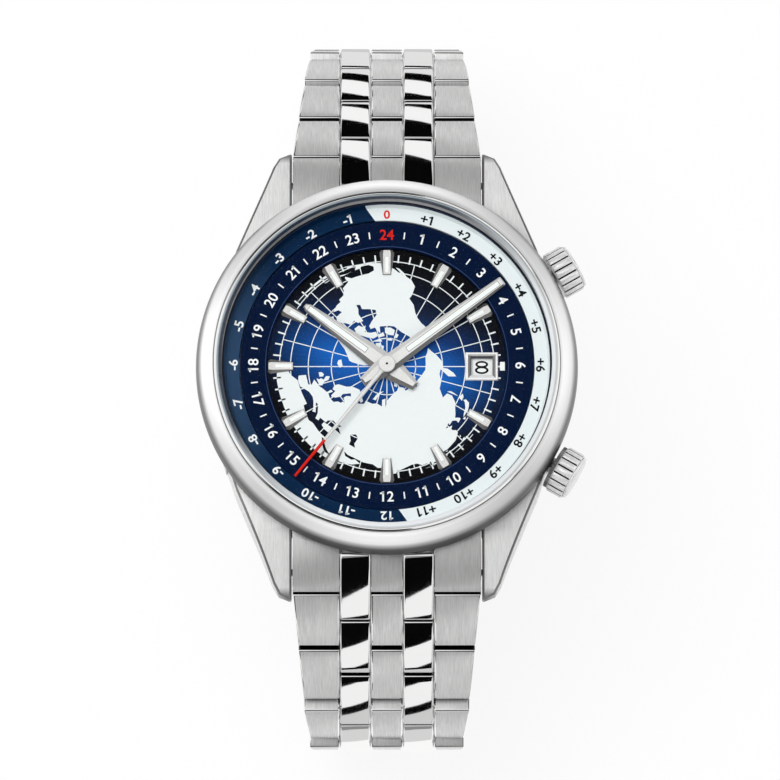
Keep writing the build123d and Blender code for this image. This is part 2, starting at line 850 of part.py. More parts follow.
with BuildPart() as clasp_long_blade:
    clasp_box(
        blade_half_width,
        fold_reach + knuckle_gap,
        cover_hinge_reach,
        long_blade_top - blade_thickness,
        long_blade_top,
    )
    clasp_disc(cover_hinge_reach, cover_hinge_height, cover_hinge_radius, 0, blade_half_width)
    clasp_bore(cover_hinge_reach, cover_hinge_height, clasp_bore_radius, blade_half_width)
    clasp_disc(fold_reach, fold_height, fold_radius, fold_knuckle_half_width + side_gap, blade_half_width)
    with BuildSketch(Plane.XY.offset(long_blade_top - blade_thickness)):
        with Locations((0, fold_reach + knuckle_gap / 2)):
            with GridLocations(blade_half_width + fold_knuckle_half_width + side_gap, 0, 2, 1):
                Rectangle(blade_half_width - fold_knuckle_half_width - side_gap, knuckle_gap)
    extrude(amount=blade_thickness)
    with BuildSketch(Plane.YZ):
        with Locations((fold_reach, fold_height)):
            pin(clasp_pin_radius, pin_sides)
    extrude(amount=fold_knuckle_half_width + side_gap + pin_engagement, both=True)
keep(clasp_long_blade, "clasp_long_blade")

with BuildPart() as clasp_short_blade:
    blade_end = clasp_12 - link_half_thickness - knuckle_break
    clasp_box(blade_half_width, fold_reach + knuckle_gap, blade_end, short_blade_bottom, short_blade_top)
    clasp_box(
        fold_knuckle_half_width - side_gap,
        fold_reach,
        fold_reach + knuckle_gap,
        short_blade_bottom,
        short_blade_top,
    )
    clasp_disc(fold_reach, fold_height, fold_radius, 0, fold_knuckle_half_width - side_gap)
    clasp_bore(fold_reach, fold_height, clasp_bore_radius, fold_knuckle_half_width)
    clasp_box(centre_half_width, blade_end, clasp_12, short_blade_bottom, short_blade_top)
    clasp_disc(clasp_12, clasp_height, clasp_knuckle_radius, 0, centre_half_width)
    clasp_disc(clasp_12, clasp_height, clasp_knuckle_radius, brushed_inner, blade_half_width)
    with BuildSketch(Plane.XY.offset(short_blade_bottom)):
        with Locations((0, (blade_end + clasp_12) / 2)):
            with GridLocations(blade_half_width + brushed_inner, 0, 2, 1):
                Rectangle(blade_half_width - brushed_inner, clasp_12 - blade_end)
    extrude(amount=blade_thickness)
    with BuildSketch(Plane.YZ):
        with Locations((clasp_12, clasp_height)):
            pin(link_pin_radius, pin_sides)
    extrude(amount=brushed_inner + pin_engagement, both=True)
keep(clasp_short_blade, "clasp_short_blade")

# Spring bar in the last knuckles of the 6 o'clock strand, its tips drawn in
strand_end_6 = row_pivots(row_angles_6)[-1]
with BuildPart() as clasp_bar:
    with BuildSketch(Plane.YZ):
        with Locations((-strand_end_6[0], strand_end_6[1])):
            pin(link_pin_radius, pin_sides)
    extrude(amount=polished_outer, both=True)
    with BuildSketch(Plane.YZ):
        with Locations((-strand_end_6[0], strand_end_6[1])):
            pin(spring_barrel_radius, round_sides)
    extrude(amount=centre_half_width, both=True)
keep(clasp_bar, "clasp_bar")

for name, column in zip(("clasp_pusher_right", "clasp_pusher_left"), (1, -1)):
    plane = Plane(
        origin=(column * (cover_inner + cover_wall), pusher_reach, (cover_low + cover_high) / 2),
        x_dir=(0, 1, 0),
        z_dir=(column, 0, 0),
    )
    with BuildPart() as pusher:
        with BuildSketch(plane.offset(-cover_wall)):
            Rectangle(pusher_length, pusher_width)
        extrude(amount=cover_wall + pusher_proud)
    keep(pusher, name)
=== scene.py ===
import json
from math import atan2, cos, hypot, pi, radians, sin

import bpy
from mathutils import Matrix, Vector


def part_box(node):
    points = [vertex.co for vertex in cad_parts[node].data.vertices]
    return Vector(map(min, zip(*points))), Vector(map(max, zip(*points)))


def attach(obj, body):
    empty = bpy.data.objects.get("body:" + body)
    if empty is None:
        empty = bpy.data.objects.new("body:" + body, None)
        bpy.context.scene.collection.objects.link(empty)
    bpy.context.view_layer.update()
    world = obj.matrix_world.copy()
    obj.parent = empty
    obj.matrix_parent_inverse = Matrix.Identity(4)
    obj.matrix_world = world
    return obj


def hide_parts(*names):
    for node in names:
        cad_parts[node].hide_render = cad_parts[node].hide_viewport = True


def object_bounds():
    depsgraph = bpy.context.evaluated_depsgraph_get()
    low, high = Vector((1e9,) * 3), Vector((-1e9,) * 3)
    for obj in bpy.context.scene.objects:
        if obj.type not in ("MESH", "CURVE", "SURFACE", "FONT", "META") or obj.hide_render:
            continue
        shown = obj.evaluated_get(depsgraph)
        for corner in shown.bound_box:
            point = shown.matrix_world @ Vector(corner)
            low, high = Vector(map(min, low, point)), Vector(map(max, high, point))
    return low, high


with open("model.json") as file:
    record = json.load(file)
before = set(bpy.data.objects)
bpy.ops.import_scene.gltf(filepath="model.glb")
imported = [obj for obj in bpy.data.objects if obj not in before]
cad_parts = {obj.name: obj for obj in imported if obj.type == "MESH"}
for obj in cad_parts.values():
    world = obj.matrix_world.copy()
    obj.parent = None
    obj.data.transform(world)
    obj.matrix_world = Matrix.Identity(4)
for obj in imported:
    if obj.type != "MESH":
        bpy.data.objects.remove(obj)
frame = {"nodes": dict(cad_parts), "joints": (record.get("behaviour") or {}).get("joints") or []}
cad_box = [list(corner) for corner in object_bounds()]
nodes = frame["nodes"]
MM = 0.001

# Studio: a long lens looks down at 78 degrees from the 6 o'clock side, as the photograph's does.
# The picture is 780 pixels wide and shows 9.12 of them for each millimetre at the bezel.
picture_width = 780
pixels_per_mm = 9.12
bezel_pixel = Vector((386.9, 367.7))
bezel_height = 8.5 * MM
elevation = radians(78.2)
lens = 1200
sensor = 36

towards_camera = Vector((0, -cos(elevation), sin(elevation)))
picture_up = Vector((0, sin(elevation), cos(elevation)))
bezel_centre = Vector((0, 0, bezel_height))
across = (picture_width / 2 - bezel_pixel.x) / pixels_per_mm * MM
upward = (bezel_pixel.y - picture_width / 2) / pixels_per_mm * MM
distance = picture_width / pixels_per_mm * MM * lens / sensor
bpy.ops.object.camera_add()
camera = bpy.context.object
camera.data.lens = lens
camera.data.sensor_width = sensor
camera.data.clip_start = distance / 10
camera.data.clip_end = distance * 10
camera.location = bezel_centre + Vector((across, 0, 0)) + upward * picture_up + distance * towards_camera
camera.rotation_mode = "QUATERNION"
camera.rotation_quaternion = (-towards_camera).to_track_quat("-Z", "Y")
bpy.context.scene.camera = camera
bpy.context.scene.view_settings.view_transform = "Standard"


def paint(code):
    """Linear colour of an sRGB hex code."""
    parts = (int(code[i : i + 2], 16) / 255 for i in (1, 3, 5))
    return [p / 12.92 if p <= 0.04045 else ((p + 0.055) / 1.055) ** 2.4 for p in parts] + [1]


def add(tree, kind, inputs=None, **settings):
    """A shader node with its settings; an input is a value, an output, or a node whose output it takes."""
    made = tree.nodes.new("ShaderNode" + kind)
    for name, value in settings.items():
        setattr(made, name, value)
    for name, value in (inputs or {}).items():
        if isinstance(value, bpy.types.Node):
            value = next(socket for socket in value.outputs if socket.enabled)
        if isinstance(value, bpy.types.NodeSocket):
            tree.links.new(value, made.inputs[name])
        else:
            made.inputs[name].default_value = value
    return made


def maths(tree, operation, *values):
    return add(tree, "Math", dict(enumerate(values)), operation=operation)


def surface(tree, inputs):
    """Ends a material in one principled surface."""
    add(tree, "OutputMaterial", {"Surface": add(tree, "BsdfPrincipled", inputs)})


def new_material(name):
    """An empty node material and its tree."""
    material = bpy.data.materials.new(name)
    material.use_nodes = True
    material.node_tree.nodes.clear()
    return material, material.node_tree


# Floor: white paper under the watch, seen as white by the camera, with a soft shadow. The steel shows the
# studio's walls below the watch in its place.
floor_size = 6.0
shadow_share = 0.12
bpy.ops.mesh.primitive_plane_add(size=floor_size, location=(0, 0, cad_box[0][2]))
floor = bpy.context.object
floor.name = "floor"
bpy.ops.object.transform_apply(location=True)
white_paper, tree = new_material("white paper")
ray = add(tree, "LightPath")
seen = maths(tree, "MAXIMUM", ray.outputs["Is Camera Ray"], ray.outputs["Is Transmission Ray"])
glow_share = maths(tree, "MULTIPLY", seen, 1 - shadow_share)
paper = add(tree, "BsdfDiffuse", {"Color": paint("#F4F4F4")})
glow = add(tree, "Emission", {"Color": paint("#FFFFFF"), "Strength": 1.0})
mixed = add(tree, "MixShader", {0: glow_share, 1: paper, 2: glow})
add(tree, "OutputMaterial", {"Surface": mixed})
floor.data.materials.append(white_paper)
floor.visible_glossy = False

# Studio walls: a pale tent with dark cards before and behind the watch, which the polished steel shows as its
# black bands. The angles run from straight up towards the 6 o'clock side, and the tent's sides are white.
world = bpy.data.worlds.new("studio")
bpy.context.scene.world = world
world.use_nodes = True
tree = world.node_tree
tree.nodes.clear()
card_edges = (
    (-180, "#FFFFFF"), (-150, "#D0D0D0"), (-135, "#E6E6E6"), (-112, "#050505"), (-104, "#FAFAFA"),
    (-89, "#050505"), (-40, "#8C8C8C"), (-30, "#D6D6D6"), (-16, "#F4F4F4"), (10, "#C8C8C8"), (14, "#8C8C8C"),
    (19, "#050505"), (64, "#F6F6F6"), (80, "#050505"), (85, "#D0D0D0"), (108, "#8C8C8C"), (120, "#D8D8D8"),
    (135, "#FFFFFF"),
)


def span(tree, value, low, high, first=0.0, last=1.0):
    """A value's place between two limits, as a share or between two other values."""
    return add(tree, "MapRange", {0: value, 1: low, 2: high, 3: first, 4: last})


def ramp(tree, share, stops):
    """A colour ramp with its stops of (share, hex code)."""
    made = add(tree, "ValToRGB", {0: share})
    elements = made.color_ramp.elements
    elements.remove(elements[1])
    elements[0].position = stops[0][0]
    elements[0].color = paint(stops[0][1])
    for position, code in stops[1:]:
        elements.new(position).color = paint(code)
    return made


def blend(tree, share, first, second):
    return add(tree, "Mix", {0: share, 6: first, 7: second}, data_type="RGBA")


place = add(tree, "TexCoord")
axes = add(tree, "SeparateXYZ", {0: place.outputs["Generated"]})
front = maths(tree, "MULTIPLY", axes.outputs["Y"], -1.0)
turn = maths(tree, "ARCTAN2", front, axes.outputs["Z"])
half = maths(tree, "SIGN", turn)
lean = maths(tree, "MULTIPLY", axes.outputs["X"], half)
slant = maths(tree, "MULTIPLY_ADD", lean, 0.3, turn)
share = span(tree, slant, -pi, pi, 0.0, 1.0)
cards = ramp(tree, share, [((angle + 180) / 360, code) for angle, code in card_edges])
cards.color_ramp.interpolation = "CONSTANT"
card_reach = maths(tree, "ABSOLUTE", axes.outputs["X"])
beside = span(tree, card_reach, 0.7, 0.85)
walls = blend(tree, beside, cards, paint("#FFFFFF"))
ray = add(tree, "LightPath")
tent = add(tree, "Background", {"Color": walls, "Strength": 1.0})
plain = add(tree, "Background", {"Color": paint("#FFFFFF"), "Strength": 1.0})
even = add(tree, "Background", {"Color": paint("#D8D8D8"), "Strength": 0.75})
by_gloss = add(tree, "MixShader", {0: ray.outputs["Is Glossy Ray"], 1: even, 2: tent})
by_eye = add(tree, "MixShader", {0: ray.outputs["Is Camera Ray"], 1: by_gloss, 2: plain})
add(tree, "OutputWorld", {"Surface": by_eye})

# One soft box above the watch, on its left, gives the shadows their direction.
bpy.ops.object.light_add(type="AREA", location=(-0.12, 0.06, 0.52))
soft_box = bpy.context.object
soft_box.data.size = 0.35
soft_box.data.energy = 2.2
soft_box.visible_glossy = False
soft_box.rotation_mode = "QUATERNION"
soft_box.rotation_quaternion = (-soft_box.location).to_track_quat("-Z", "Y")


# Brushed steel of the case and the outer links: long scratches one way, which spread the light into soft
# pale bands. Real ones are about 0.03 mm apart; they are drawn at 0.1 mm, so that they show in the render.
def brushed_steel(name, code, roughness, spacing, run, sheen=0.45, painted_shade_span=None):
    """Steel with scratches; spacing and run are the pattern's size in mm along X, Y and Z.

    The last argument gives the distances along Y, in mm, between which it is darkened with painted shade, as
    where a surface rolls away.
    """
    material, tree = new_material(name)
    place = add(tree, "TexCoord")
    sized = add(tree, "Mapping", {0: place.outputs["Object"], "Scale": [1 / (size * MM) for size in spacing]})
    scratches = add(tree, "TexNoise", {"Vector": sized, "Scale": 1.0, "Detail": 4.0, "Roughness": 0.7})
    broad = add(tree, "Mapping", {0: place.outputs["Object"], "Scale": [1 / (size * MM) for size in run]})
    clouds = add(tree, "TexNoise", {"Vector": broad, "Scale": 1.0, "Detail": 2.0})
    shade = span(tree, scratches, 0.25, 0.75, 0.7, 1.0)
    cloud_shade = span(tree, clouds, 0.3, 0.7, 0.94, 1.0)
    both = maths(tree, "MULTIPLY", shade, cloud_shade)
    if painted_shade_span:
        axes = add(tree, "SeparateXYZ", {0: place.outputs["Object"]})
        off = maths(tree, "ABSOLUTE", axes.outputs["Y"])
        painted_rolloff_shade = span(tree, off, painted_shade_span[0] * MM, painted_shade_span[1] * MM, 1.0, 0.03)
        both = maths(tree, "MULTIPLY", both, painted_rolloff_shade)
    colour = blend(tree, both, paint("#000000"), paint(code))
    gloss = span(tree, scratches, 0, 1, roughness + 0.1, roughness - 0.1)
    relief = add(tree, "Bump", {"Height": scratches, "Strength": 0.25, "Distance": 0.01 * MM})
    surface(tree, {"Base Color": colour, "Metallic": sheen, "Roughness": gloss, "Normal": relief})
    return material


def mottled(tree, size):
    """Noise over the object, its size in mm."""
    place = add(tree, "TexCoord")
    return add(tree, "TexNoise", {"Vector": place.outputs["Object"], "Scale": 1 / (size * MM), "Detail": 3.0})


def polished_steel(name, code, roughness):
    """Mirror steel with faint wiping marks that vary its gloss."""
    material, tree = new_material(name)
    gloss = span(tree, mottled(tree, 1.5), 0, 1, roughness * 0.6, roughness * 1.4)
    surface(tree, {"Base Color": paint(code), "Metallic": 1.0, "Roughness": gloss})
    return material


grain = (0.1, 1.8, 1.8)
grain_clouds = (1.2, 9.0, 9.0)
# The case steel is darkened with painted shade towards the lug ends, from 23.8 to 24.9 mm off the middle
# along Y.
case_steel = brushed_steel("brushed steel case", "#F8F8F7", 0.36, grain, grain_clouds, 0.2, (23.8, 24.9))
link_steel = brushed_steel("brushed steel links", "#F6F6F5", 0.34, grain, grain_clouds, 0.55)
mirror_steel = polished_steel("polished steel", "#F8F8F7", 0.05)


def dress(piece, material):
    piece.data.materials.clear()
    piece.data.materials.append(material)


def finish(piece, material, body, *replaced):
    """Gives a piece its material and its body, and the CAD nodes that it stands for."""
    dress(piece, material)
    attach(piece, body)
    if replaced:
        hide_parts(*replaced)


def deselect():
    bpy.ops.object.select_all(action="DESELECT")


def pick(piece):
    deselect()
    piece.select_set(True)
    bpy.context.view_layer.objects.active = piece


def edit_all():
    bpy.ops.object.mode_set(mode="EDIT")
    bpy.ops.mesh.select_all(action="SELECT")


def loop_of(name, points):
    """A flat closed outline through the points, filled with one face."""
    deselect()
    bpy.ops.mesh.primitive_circle_add(vertices=len(points), radius=MM, fill_type="NGON")
    piece = bpy.context.object
    piece.name = name
    for vertex, point in zip(piece.data.vertices, points):
        vertex.co = Vector(point) * MM
    return piece


def faced(piece, material, test):
    """Gives another material to the faces that pass a test."""
    piece.data.materials.append(material)
    for face in piece.data.polygons:
        if test(face):
            face.material_index = len(piece.data.materials) - 1


def drawn_out(piece, move):
    """Extrudes a filled outline along move, in mm."""
    edit_all()
    bpy.ops.mesh.extrude_region_move(TRANSFORM_OT_translate={"value": Vector(move) * MM})
    bpy.ops.mesh.select_all(action="SELECT")
    bpy.ops.mesh.normals_make_consistent(inside=False)
    bpy.ops.object.mode_set(mode="OBJECT")
    return piece


def rounded(piece, width, segments, sharp, clamp=True):
    """Breaks the edges sharper than an angle, in the second material, and shades the rest smooth."""
    edge = piece.modifiers.new("edge", "BEVEL")
    edge.width = width * MM
    edge.use_clamp_overlap = clamp
    edge.segments = segments
    edge.limit_method = "ANGLE"
    edge.angle_limit = radians(sharp)
    edge.material = 1
    apply(piece, "edge")
    smooth(piece)


def apply(piece, name):
    pick(piece)
    bpy.ops.object.modifier_apply(modifier=name)


def smooth(piece, angle=35):
    pick(piece)
    bpy.ops.object.shade_smooth_by_angle(angle=radians(angle))


def joined(name, pieces):
    deselect()
    for piece in pieces:
        piece.select_set(True)
    bpy.context.view_layer.objects.active = pieces[0]
    if len(pieces) > 1:
        bpy.ops.object.join()
    pieces[0].name = name
    return pieces[0]


def closed(piece, weld=0.0005):
    """Welds a piece's loose faces within a distance in mm and turns them all outwards."""
    pick(piece)
    edit_all()
    bpy.ops.mesh.remove_doubles(threshold=weld * MM)
    bpy.ops.mesh.normals_make_consistent(inside=False)
    bpy.ops.object.mode_set(mode="OBJECT")
    return piece


def turned(name, profile, steps=144):
    """A closed profile of (radius, height) turned round the watch's axis."""
    piece = loop_of(name, [(r, 0, z) for r, z in profile])
    edit_all()
    bpy.ops.mesh.delete(type="ONLY_FACE")
    bpy.ops.mesh.select_all(action="SELECT")
    bpy.ops.mesh.spin(steps=steps, angle=2 * pi, center=(0, 0, 0), axis=(0, 0, 1))
    bpy.ops.object.mode_set(mode="OBJECT")
    smooth(closed(piece, 0.001))
    return piece


# Bracelet: solid steel links, five to a row, on pins. The outer and centre ones are brushed along the strand,
# and the two between them polished. Each is slightly crowned, with its edges broken after milling.
link_half = 1.6
link_gap = 0.16
seam = 0.05
centre_half = 1.75
polished_spans = ((-5.14, -1.8), (1.8, 5.14))
brushed_from = 5.19
strand_widths = {0: 20.7, 1: 19.5, 2: 18.3, 3: 17.1}
narrow_width = 16.2
crown_drop = 0.25
arc_steps = 8
pivot_at = {joint["name"]: Vector(joint["pos_m"]) / MM for joint in frame["joints"]}


def link_outline(near, far, knuckle_at):
    """Side view of a link in (along, outward), crowned on top, with a round knuckle under one end."""
    middle, length = (near + far) / 2, far - near
    top = []
    for step in range(arc_steps + 1):
        along = near + length * step / arc_steps
        top.append((along, link_half - crown_drop * (2 * (along - middle) / length) ** 2))
    knuckle = []
    sign = 1 if knuckle_at > middle else -1
    for step in range(arc_steps + 1):
        angle = radians(90 * step / arc_steps)
        knuckle.append((knuckle_at + sign * link_half * sin(angle), -link_half * cos(angle)))
    if sign > 0:
        return top + knuckle[::-1] + [(near, -link_half)]
    return top + [(far, -link_half)] + knuckle


def half_width(row):
    return strand_widths.get(row, narrow_width) / 2


def link_column(outline, near_x, far_x, taper, place):
    """One link between two X planes; taper moves the outer plane in towards the far end."""
    corners = [(near_x, along, out) for along, out in outline]
    piece = drawn_out(loop_of("column", corners), (far_x - near_x, 0, 0))
    low = min(along for along, _ in outline)
    high = max(along for along, _ in outline)
    if taper:
        outer = max(near_x, far_x, key=abs)
        for vertex in piece.data.vertices:
            if abs(vertex.co.x - outer * MM) < 0.01 * MM:
                share = (vertex.co.y / MM - low) / (high - low)
                vertex.co.x -= taper * share * (1 if outer > 0 else -1) * MM
    piece.data.transform(place)
    if place.determinant() < 0:
        piece.data.flip_normals()
    return piece


def strand_frame(pivot, following, side):
    """Matrix from (X, along, outward) at a pivot to the watch, in metres. It mirrors the 6 o'clock side."""
    along = (following - pivot).normalized()
    across_axis = Vector((1, 0, 0))
    outward = across_axis.cross(along) * side
    matrix = Matrix((across_axis, along, outward)).transposed().to_4x4()
    matrix.translation = pivot * MM
    return matrix


# Dark steel for end faces and grooves: painted shade where the light doesn't reach into the gaps.
painted_gap_shade_steel = polished_steel("steel in painted gap shade", "#3A3A3A", 0.3)


def trimmed(piece, width, segments, place, dark_ends=True):
    """Breaks and polishes a link's edges; its end faces get painted shade, as where the light doesn't reach
    into the gaps.
    """
    piece.data.materials.append(mirror_steel)
    rounded(piece, width, segments, 30)
    home = place.inverted().to_3x3()
    faced(piece, painted_gap_shade_steel, lambda face: dark_ends and abs((home @ face.normal).normalized().y) > 0.85)


low_bar, high_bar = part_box("clasp_bar")
ends = {12: pivot_at["clasp_pivot"], 6: (low_bar + high_bar) / 2 / MM}
ends[6].x = 0
for hour, side in ((12, 1), (6, -1)):
    pivots = [pivot_at[f"row_{hour}_{row}_pivot"] for row in range(1, 8)] + [ends[hour]]
    for row in range(1, 8):
        body = f"row_{hour}_{row}"
        place = strand_frame(pivots[row - 1], pivots[row], side)
        pitch = (pivots[row] - pivots[row - 1]).length
        near, far = seam - link_half, pitch - link_half - link_gap - seam
        outline = link_outline(near, far, 0)
        wide, narrow = half_width(row - 1), half_width(row)
        taper = wide - narrow
        spans = (-wide, -brushed_from, taper), (-centre_half, centre_half, 0), (brushed_from, wide, taper)
        columns = [link_column(outline, *limits, place) for limits in spans]
        brushed = joined(f"brushed_links_{hour}_{row}", columns)
        finish(brushed, link_steel, body, f"row_{hour}_{row}_brushed")
        # Only the first two brushed rows get painted shade on their end faces.
        trimmed(brushed, 0.2, 3, place, row < 3)
        outline = link_outline(link_half + link_gap + seam, pitch + link_half - seam, pitch)
        columns = [link_column(outline, *limits, 0, place) for limits in polished_spans]
        polished = joined(f"polished_links_{hour}_{row}", columns)
        finish(polished, mirror_steel, body, f"row_{hour}_{row}_polished")
        trimmed(polished, 0.24, 4, place)

# Case: a turned drum of stainless steel with four lugs milled from the same block. The lugs are brushed
# lengthwise and darkened with painted shade towards their ends, with a narrow satin bevel along their edges
# that is painted darker grey as shade.
case_edge = 0.25
case_bore, case_out, case_foot, case_top = 14.6, 20.3, 1.0, 7.4
lug_inside, lug_end = 10.45, 25.1
satin, fine_clouds = (0.3, 0.3, 0.3), (1.5, 1.5, 1.5)
# The bevels' darker grey is painted shade on the broken edges.
painted_shade_bevel_steel = brushed_steel("satin steel bevels in painted shade", "#8E8E8D", 0.25, satin, fine_clouds, 0.5)


def bow(start, middle, end, steps=10):
    """Points on a smooth curve through three points."""
    points = []
    for step in range(steps + 1):
        t = step / steps
        first, second, third = (1 - t) * (1 - 2 * t), 4 * t * (1 - t), t * (2 * t - 1)
        points.append(tuple(a * first + b * second + c * third for a, b, c in zip(start, middle, end)))
    return points


def cut(piece, tool, operation):
    """Joins, cuts or intersects a piece with a tool, which is used up."""
    change = piece.modifiers.new("cut", "BOOLEAN")
    change.operation = operation
    change.object = tool
    change.solver = "EXACT"
    apply(piece, "cut")
    bpy.data.objects.remove(tool)
    return piece


lug_flank = [(11.85, 24.45), (12.5, 23.3)] + bow((12.5, 23.3), (14.1, 19.2), (16.5, 13.5))[1:]
roof_start, roof_drop = 11.0, 3.6
lug_roof = [
    (roof_start + (lug_end - roof_start) * k / 16, case_top - roof_drop * (k / 16) ** 2.4) for k in range(17)
]
foot_edge = [(case_bore, case_foot), (case_out - 0.3, case_foot), (case_out, case_foot + 0.3)]
case = turned("case_and_lugs", foot_edge + [(case_out, case_top), (case_bore, case_top)])
for side in (1, -1):
    for hand in (1, -1):
        plan = [(lug_inside, 8), (lug_inside, lug_end)] + lug_flank + [(17.6, 10.2), (17.6, 8)]
        lug = drawn_out(loop_of("lug", [(hand * x, side * y, 0.9) for x, y in plan]), (0, 0, 6.6))
        section = [(7, case_top)] + lug_roof + [(lug_end, 2.3), (23.2, case_foot), (7, case_foot)]
        roof = drawn_out(loop_of("roof", [(-20, side * y, z) for y, z in section]), (40, 0, 0))
        lug = cut(lug, roof, "INTERSECT")
        case = cut(case, lug, "UNION")
finish(case, case_steel, "watch_head", "case_body")
case.data.materials.append(painted_shade_bevel_steel)
rounded(case, case_edge, 2, 40, False)

# Solid end links between the lugs: three brushed blocks, and between them two polished knuckles that run
# out from under the bezel and carry the first row's pin.
end_steel = brushed_steel("brushed steel end links", "#D6D6D5", 0.36, grain, grain_clouds)
knuckle_angle = 34.0
drum = [(0, 0), (20.35, 0), (20.35, 8), (0, 8)]
for hour, side in ((12, 1), (6, -1)):
    pivot = pivot_at[f"row_{hour}_1_pivot"]
    reach, height = abs(pivot.y), pivot.z
    run, fall = cos(radians(knuckle_angle)), sin(radians(knuckle_angle))
    face = (reach - run * (link_half + link_gap), height + fall * (link_half + link_gap))
    top_corner = (face[0] + fall * link_half, face[1] + run * link_half)
    low_corner = (face[0] - fall * link_half / 2, face[1] - run * link_half / 2)
    top = bow((17.0, 7.3), (21.3, 6.65), top_corner)
    block = [(side * y, z) for y, z in [(15, 7.3)] + top + [low_corner, (21.7, 1.25), (15, 1.25)]]
    columns = [
        drawn_out(loop_of("block", [(near, y, z) for y, z in block]), (far - near, 0, 0))
        for near, far in ((-10.35, -brushed_from), (-centre_half, centre_half), (brushed_from, 10.35))
    ]
    blocks = cut(joined(f"end_link_blocks_{hour}", columns), turned("drum", drum), "DIFFERENCE")
    finish(blocks, end_steel, "watch_head", f"end_link_{hour}")
    trimmed(blocks, 0.14, 2, Matrix.Rotation(radians(-knuckle_angle * side), 4, "X"))
    outer_end = (reach + (fall + run) * link_half, height + (run - fall) * link_half - 0.25)
    top = bow((20.4, 7.25), (23.0, 6.08), outer_end)
    angles = [radians(degree) for degree in range(60, -46, -15)]
    under = [(reach + link_half * sin(angle), height - link_half * cos(angle)) for angle in angles]
    knuckle = [(side * y, z) for y, z in top + under + [(20.4, 1.6)]]
    columns = [
        drawn_out(loop_of("knuckle", [(near, y, z) for y, z in knuckle]), (far - near, 0, 0))
        for near, far in polished_spans
    ]
    knuckles = joined(f"end_link_knuckles_{hour}", columns)
    finish(knuckles, mirror_steel, "watch_head")
    trimmed(knuckles, 0.24, 4, Matrix.Rotation(radians(-knuckle_angle * side), 4, "X"))

# Bezel: turned and polished steel, a smooth dome down to a thin lip round the crystal. Its tones are painted
# reflections that follow the distance from the axis, shifted a little outwards at 12 o'clock, bright over the
# dome and dark at its outer edge, and it has painted shade on the diagonals.
fade_from, fade_to = 18.9, 20.9
painted_reflection_stops = (
    (18.9, "#C0C0C0"), (19.4, "#FFFFFF"), (20.3, "#FAFAFA"), (20.5, "#C4C4C4"), (20.72, "#545454"),
    (20.9, "#181818"),
)
fine_steps = 192


def parted(tree):
    """The three parts of the place on the object: X, Y and Z."""
    return add(tree, "SeparateXYZ", {0: add(tree, "TexCoord").outputs["Object"]}).outputs


def from_axis(tree, x, y):
    """The distance from the watch's axis."""
    flat = add(tree, "CombineXYZ", {"X": x, "Y": y})
    return add(tree, "VectorMath", {0: flat}, operation="LENGTH")


bezel_steel, tree = new_material("polished steel bezel with painted reflections")
x, y, _ = parted(tree)
out = from_axis(tree, x, y)
topmost = span(tree, y, 15 * MM, 20.3 * MM, 0.0, 0.45 * MM)
lifted = maths(tree, "SUBTRACT", out, topmost)
rim_share = span(tree, lifted, fade_from * MM, fade_to * MM)
fade = ramp(tree, rim_share, [((radius - fade_from) / (fade_to - fade_from), code) for radius, code in painted_reflection_stops])
# Painted shade: up to 36 per cent darker on the diagonals.
painted_light_diagonal = maths(tree, "MULTIPLY", x, y)
corner = maths(tree, "DIVIDE", painted_light_diagonal, 200 * MM * MM)
corner = maths(tree, "MULTIPLY", corner, corner)
level = maths(tree, "MULTIPLY_ADD", corner, -0.36, 1.0)
painted_bezel_tones = add(tree, "VectorMath", {0: fade, "Scale": level}, operation="SCALE")
surface(tree, {"Base Color": painted_bezel_tones, "Metallic": 0.15, "Roughness": 0.3})
bezel_bore, seat, seat_foot = 18.1, 19.04, 11.15
dome = bow((20.95, 8.5), (20.42, 10.8), (19.12, 11.75), 18)
outside = [(bezel_bore, case_top), (case_out, case_top), (20.85, 8.1)] + dome
inside = [(19.06, 11.72), (seat, 11.6), (seat, seat_foot), (bezel_bore, seat_foot)]
bezel = turned("polished_bezel", outside + inside, fine_steps)
finish(bezel, bezel_steel, "watch_head", "bezel")

# Crystal: flat sapphire, clear in the middle. Its ground bevel carries painted light, dark at the upper left
# and bright at the lower right, and a dark blue gasket shows below its edge.
clear, tree = new_material("sapphire, coated")
surface(tree, {"Base Color": paint("#10161C"), "Roughness": 0.05, "IOR": 1.45, "Alpha": 0.01})
ground, tree = new_material("sapphire ground bevel with painted light")
x, y, _ = parted(tree)
# Painted light on the bevel: dark at the upper left, bright at the lower right, and greyer outside 18.42 mm.
painted_light_diagonal = maths(tree, "SUBTRACT", x, y)
painted_light_side = span(tree, painted_light_diagonal, -10 * MM, 10 * MM)
inner = blend(tree, painted_light_side, paint("#0A1C30"), paint("#F6FAFC"))
outer = blend(tree, painted_light_side, paint("#9AA6AE"), paint("#CCD0D2"))
out = from_axis(tree, x, y)
outward = span(tree, out, 18.42 * MM, 18.6 * MM)
bevel_with_painted_light = blend(tree, outward, inner, outer)
surface(
    tree,
    {"Base Color": bevel_with_painted_light, "Roughness": 0.18, "IOR": 1.77, "Alpha": 0.85, "Specular IOR Level": 0.2},
)
crystal_out, flat_out, crystal_top = 18.96, 18.1, 12.45
outside = [(0, seat_foot), (crystal_out, seat_foot), (crystal_out, 11.86), (18.84, 11.95), (18.7, 11.95)]
ground_edge = [(18.62, 12.0), (flat_out, crystal_top), (0, crystal_top)]
crystal = turned("sapphire_crystal", outside + ground_edge, fine_steps)
finish(crystal, clear, "watch_head", "crystal")
crystal.data.materials.append(ground)
crystal.data.materials.append(mirror_steel)
for face in crystal.data.polygons:
    middle = face.center / MM
    reach = hypot(middle.x, middle.y)
    if reach > flat_out and middle.z > seat_foot + 0.05:
        face.material_index = 2 if 18.7 < reach < 18.9 else 1
rubber, tree = new_material("dark blue gasket")
surface(tree, {"Base Color": paint("#0A1428"), "Roughness": 0.6})
profile = [(17.86, 10.97), (18.08, 10.97), (18.08, 11.12), (17.86, 11.12)]
gasket = turned("crystal_gasket", profile, fine_steps)
finish(gasket, rubber, "watch_head")
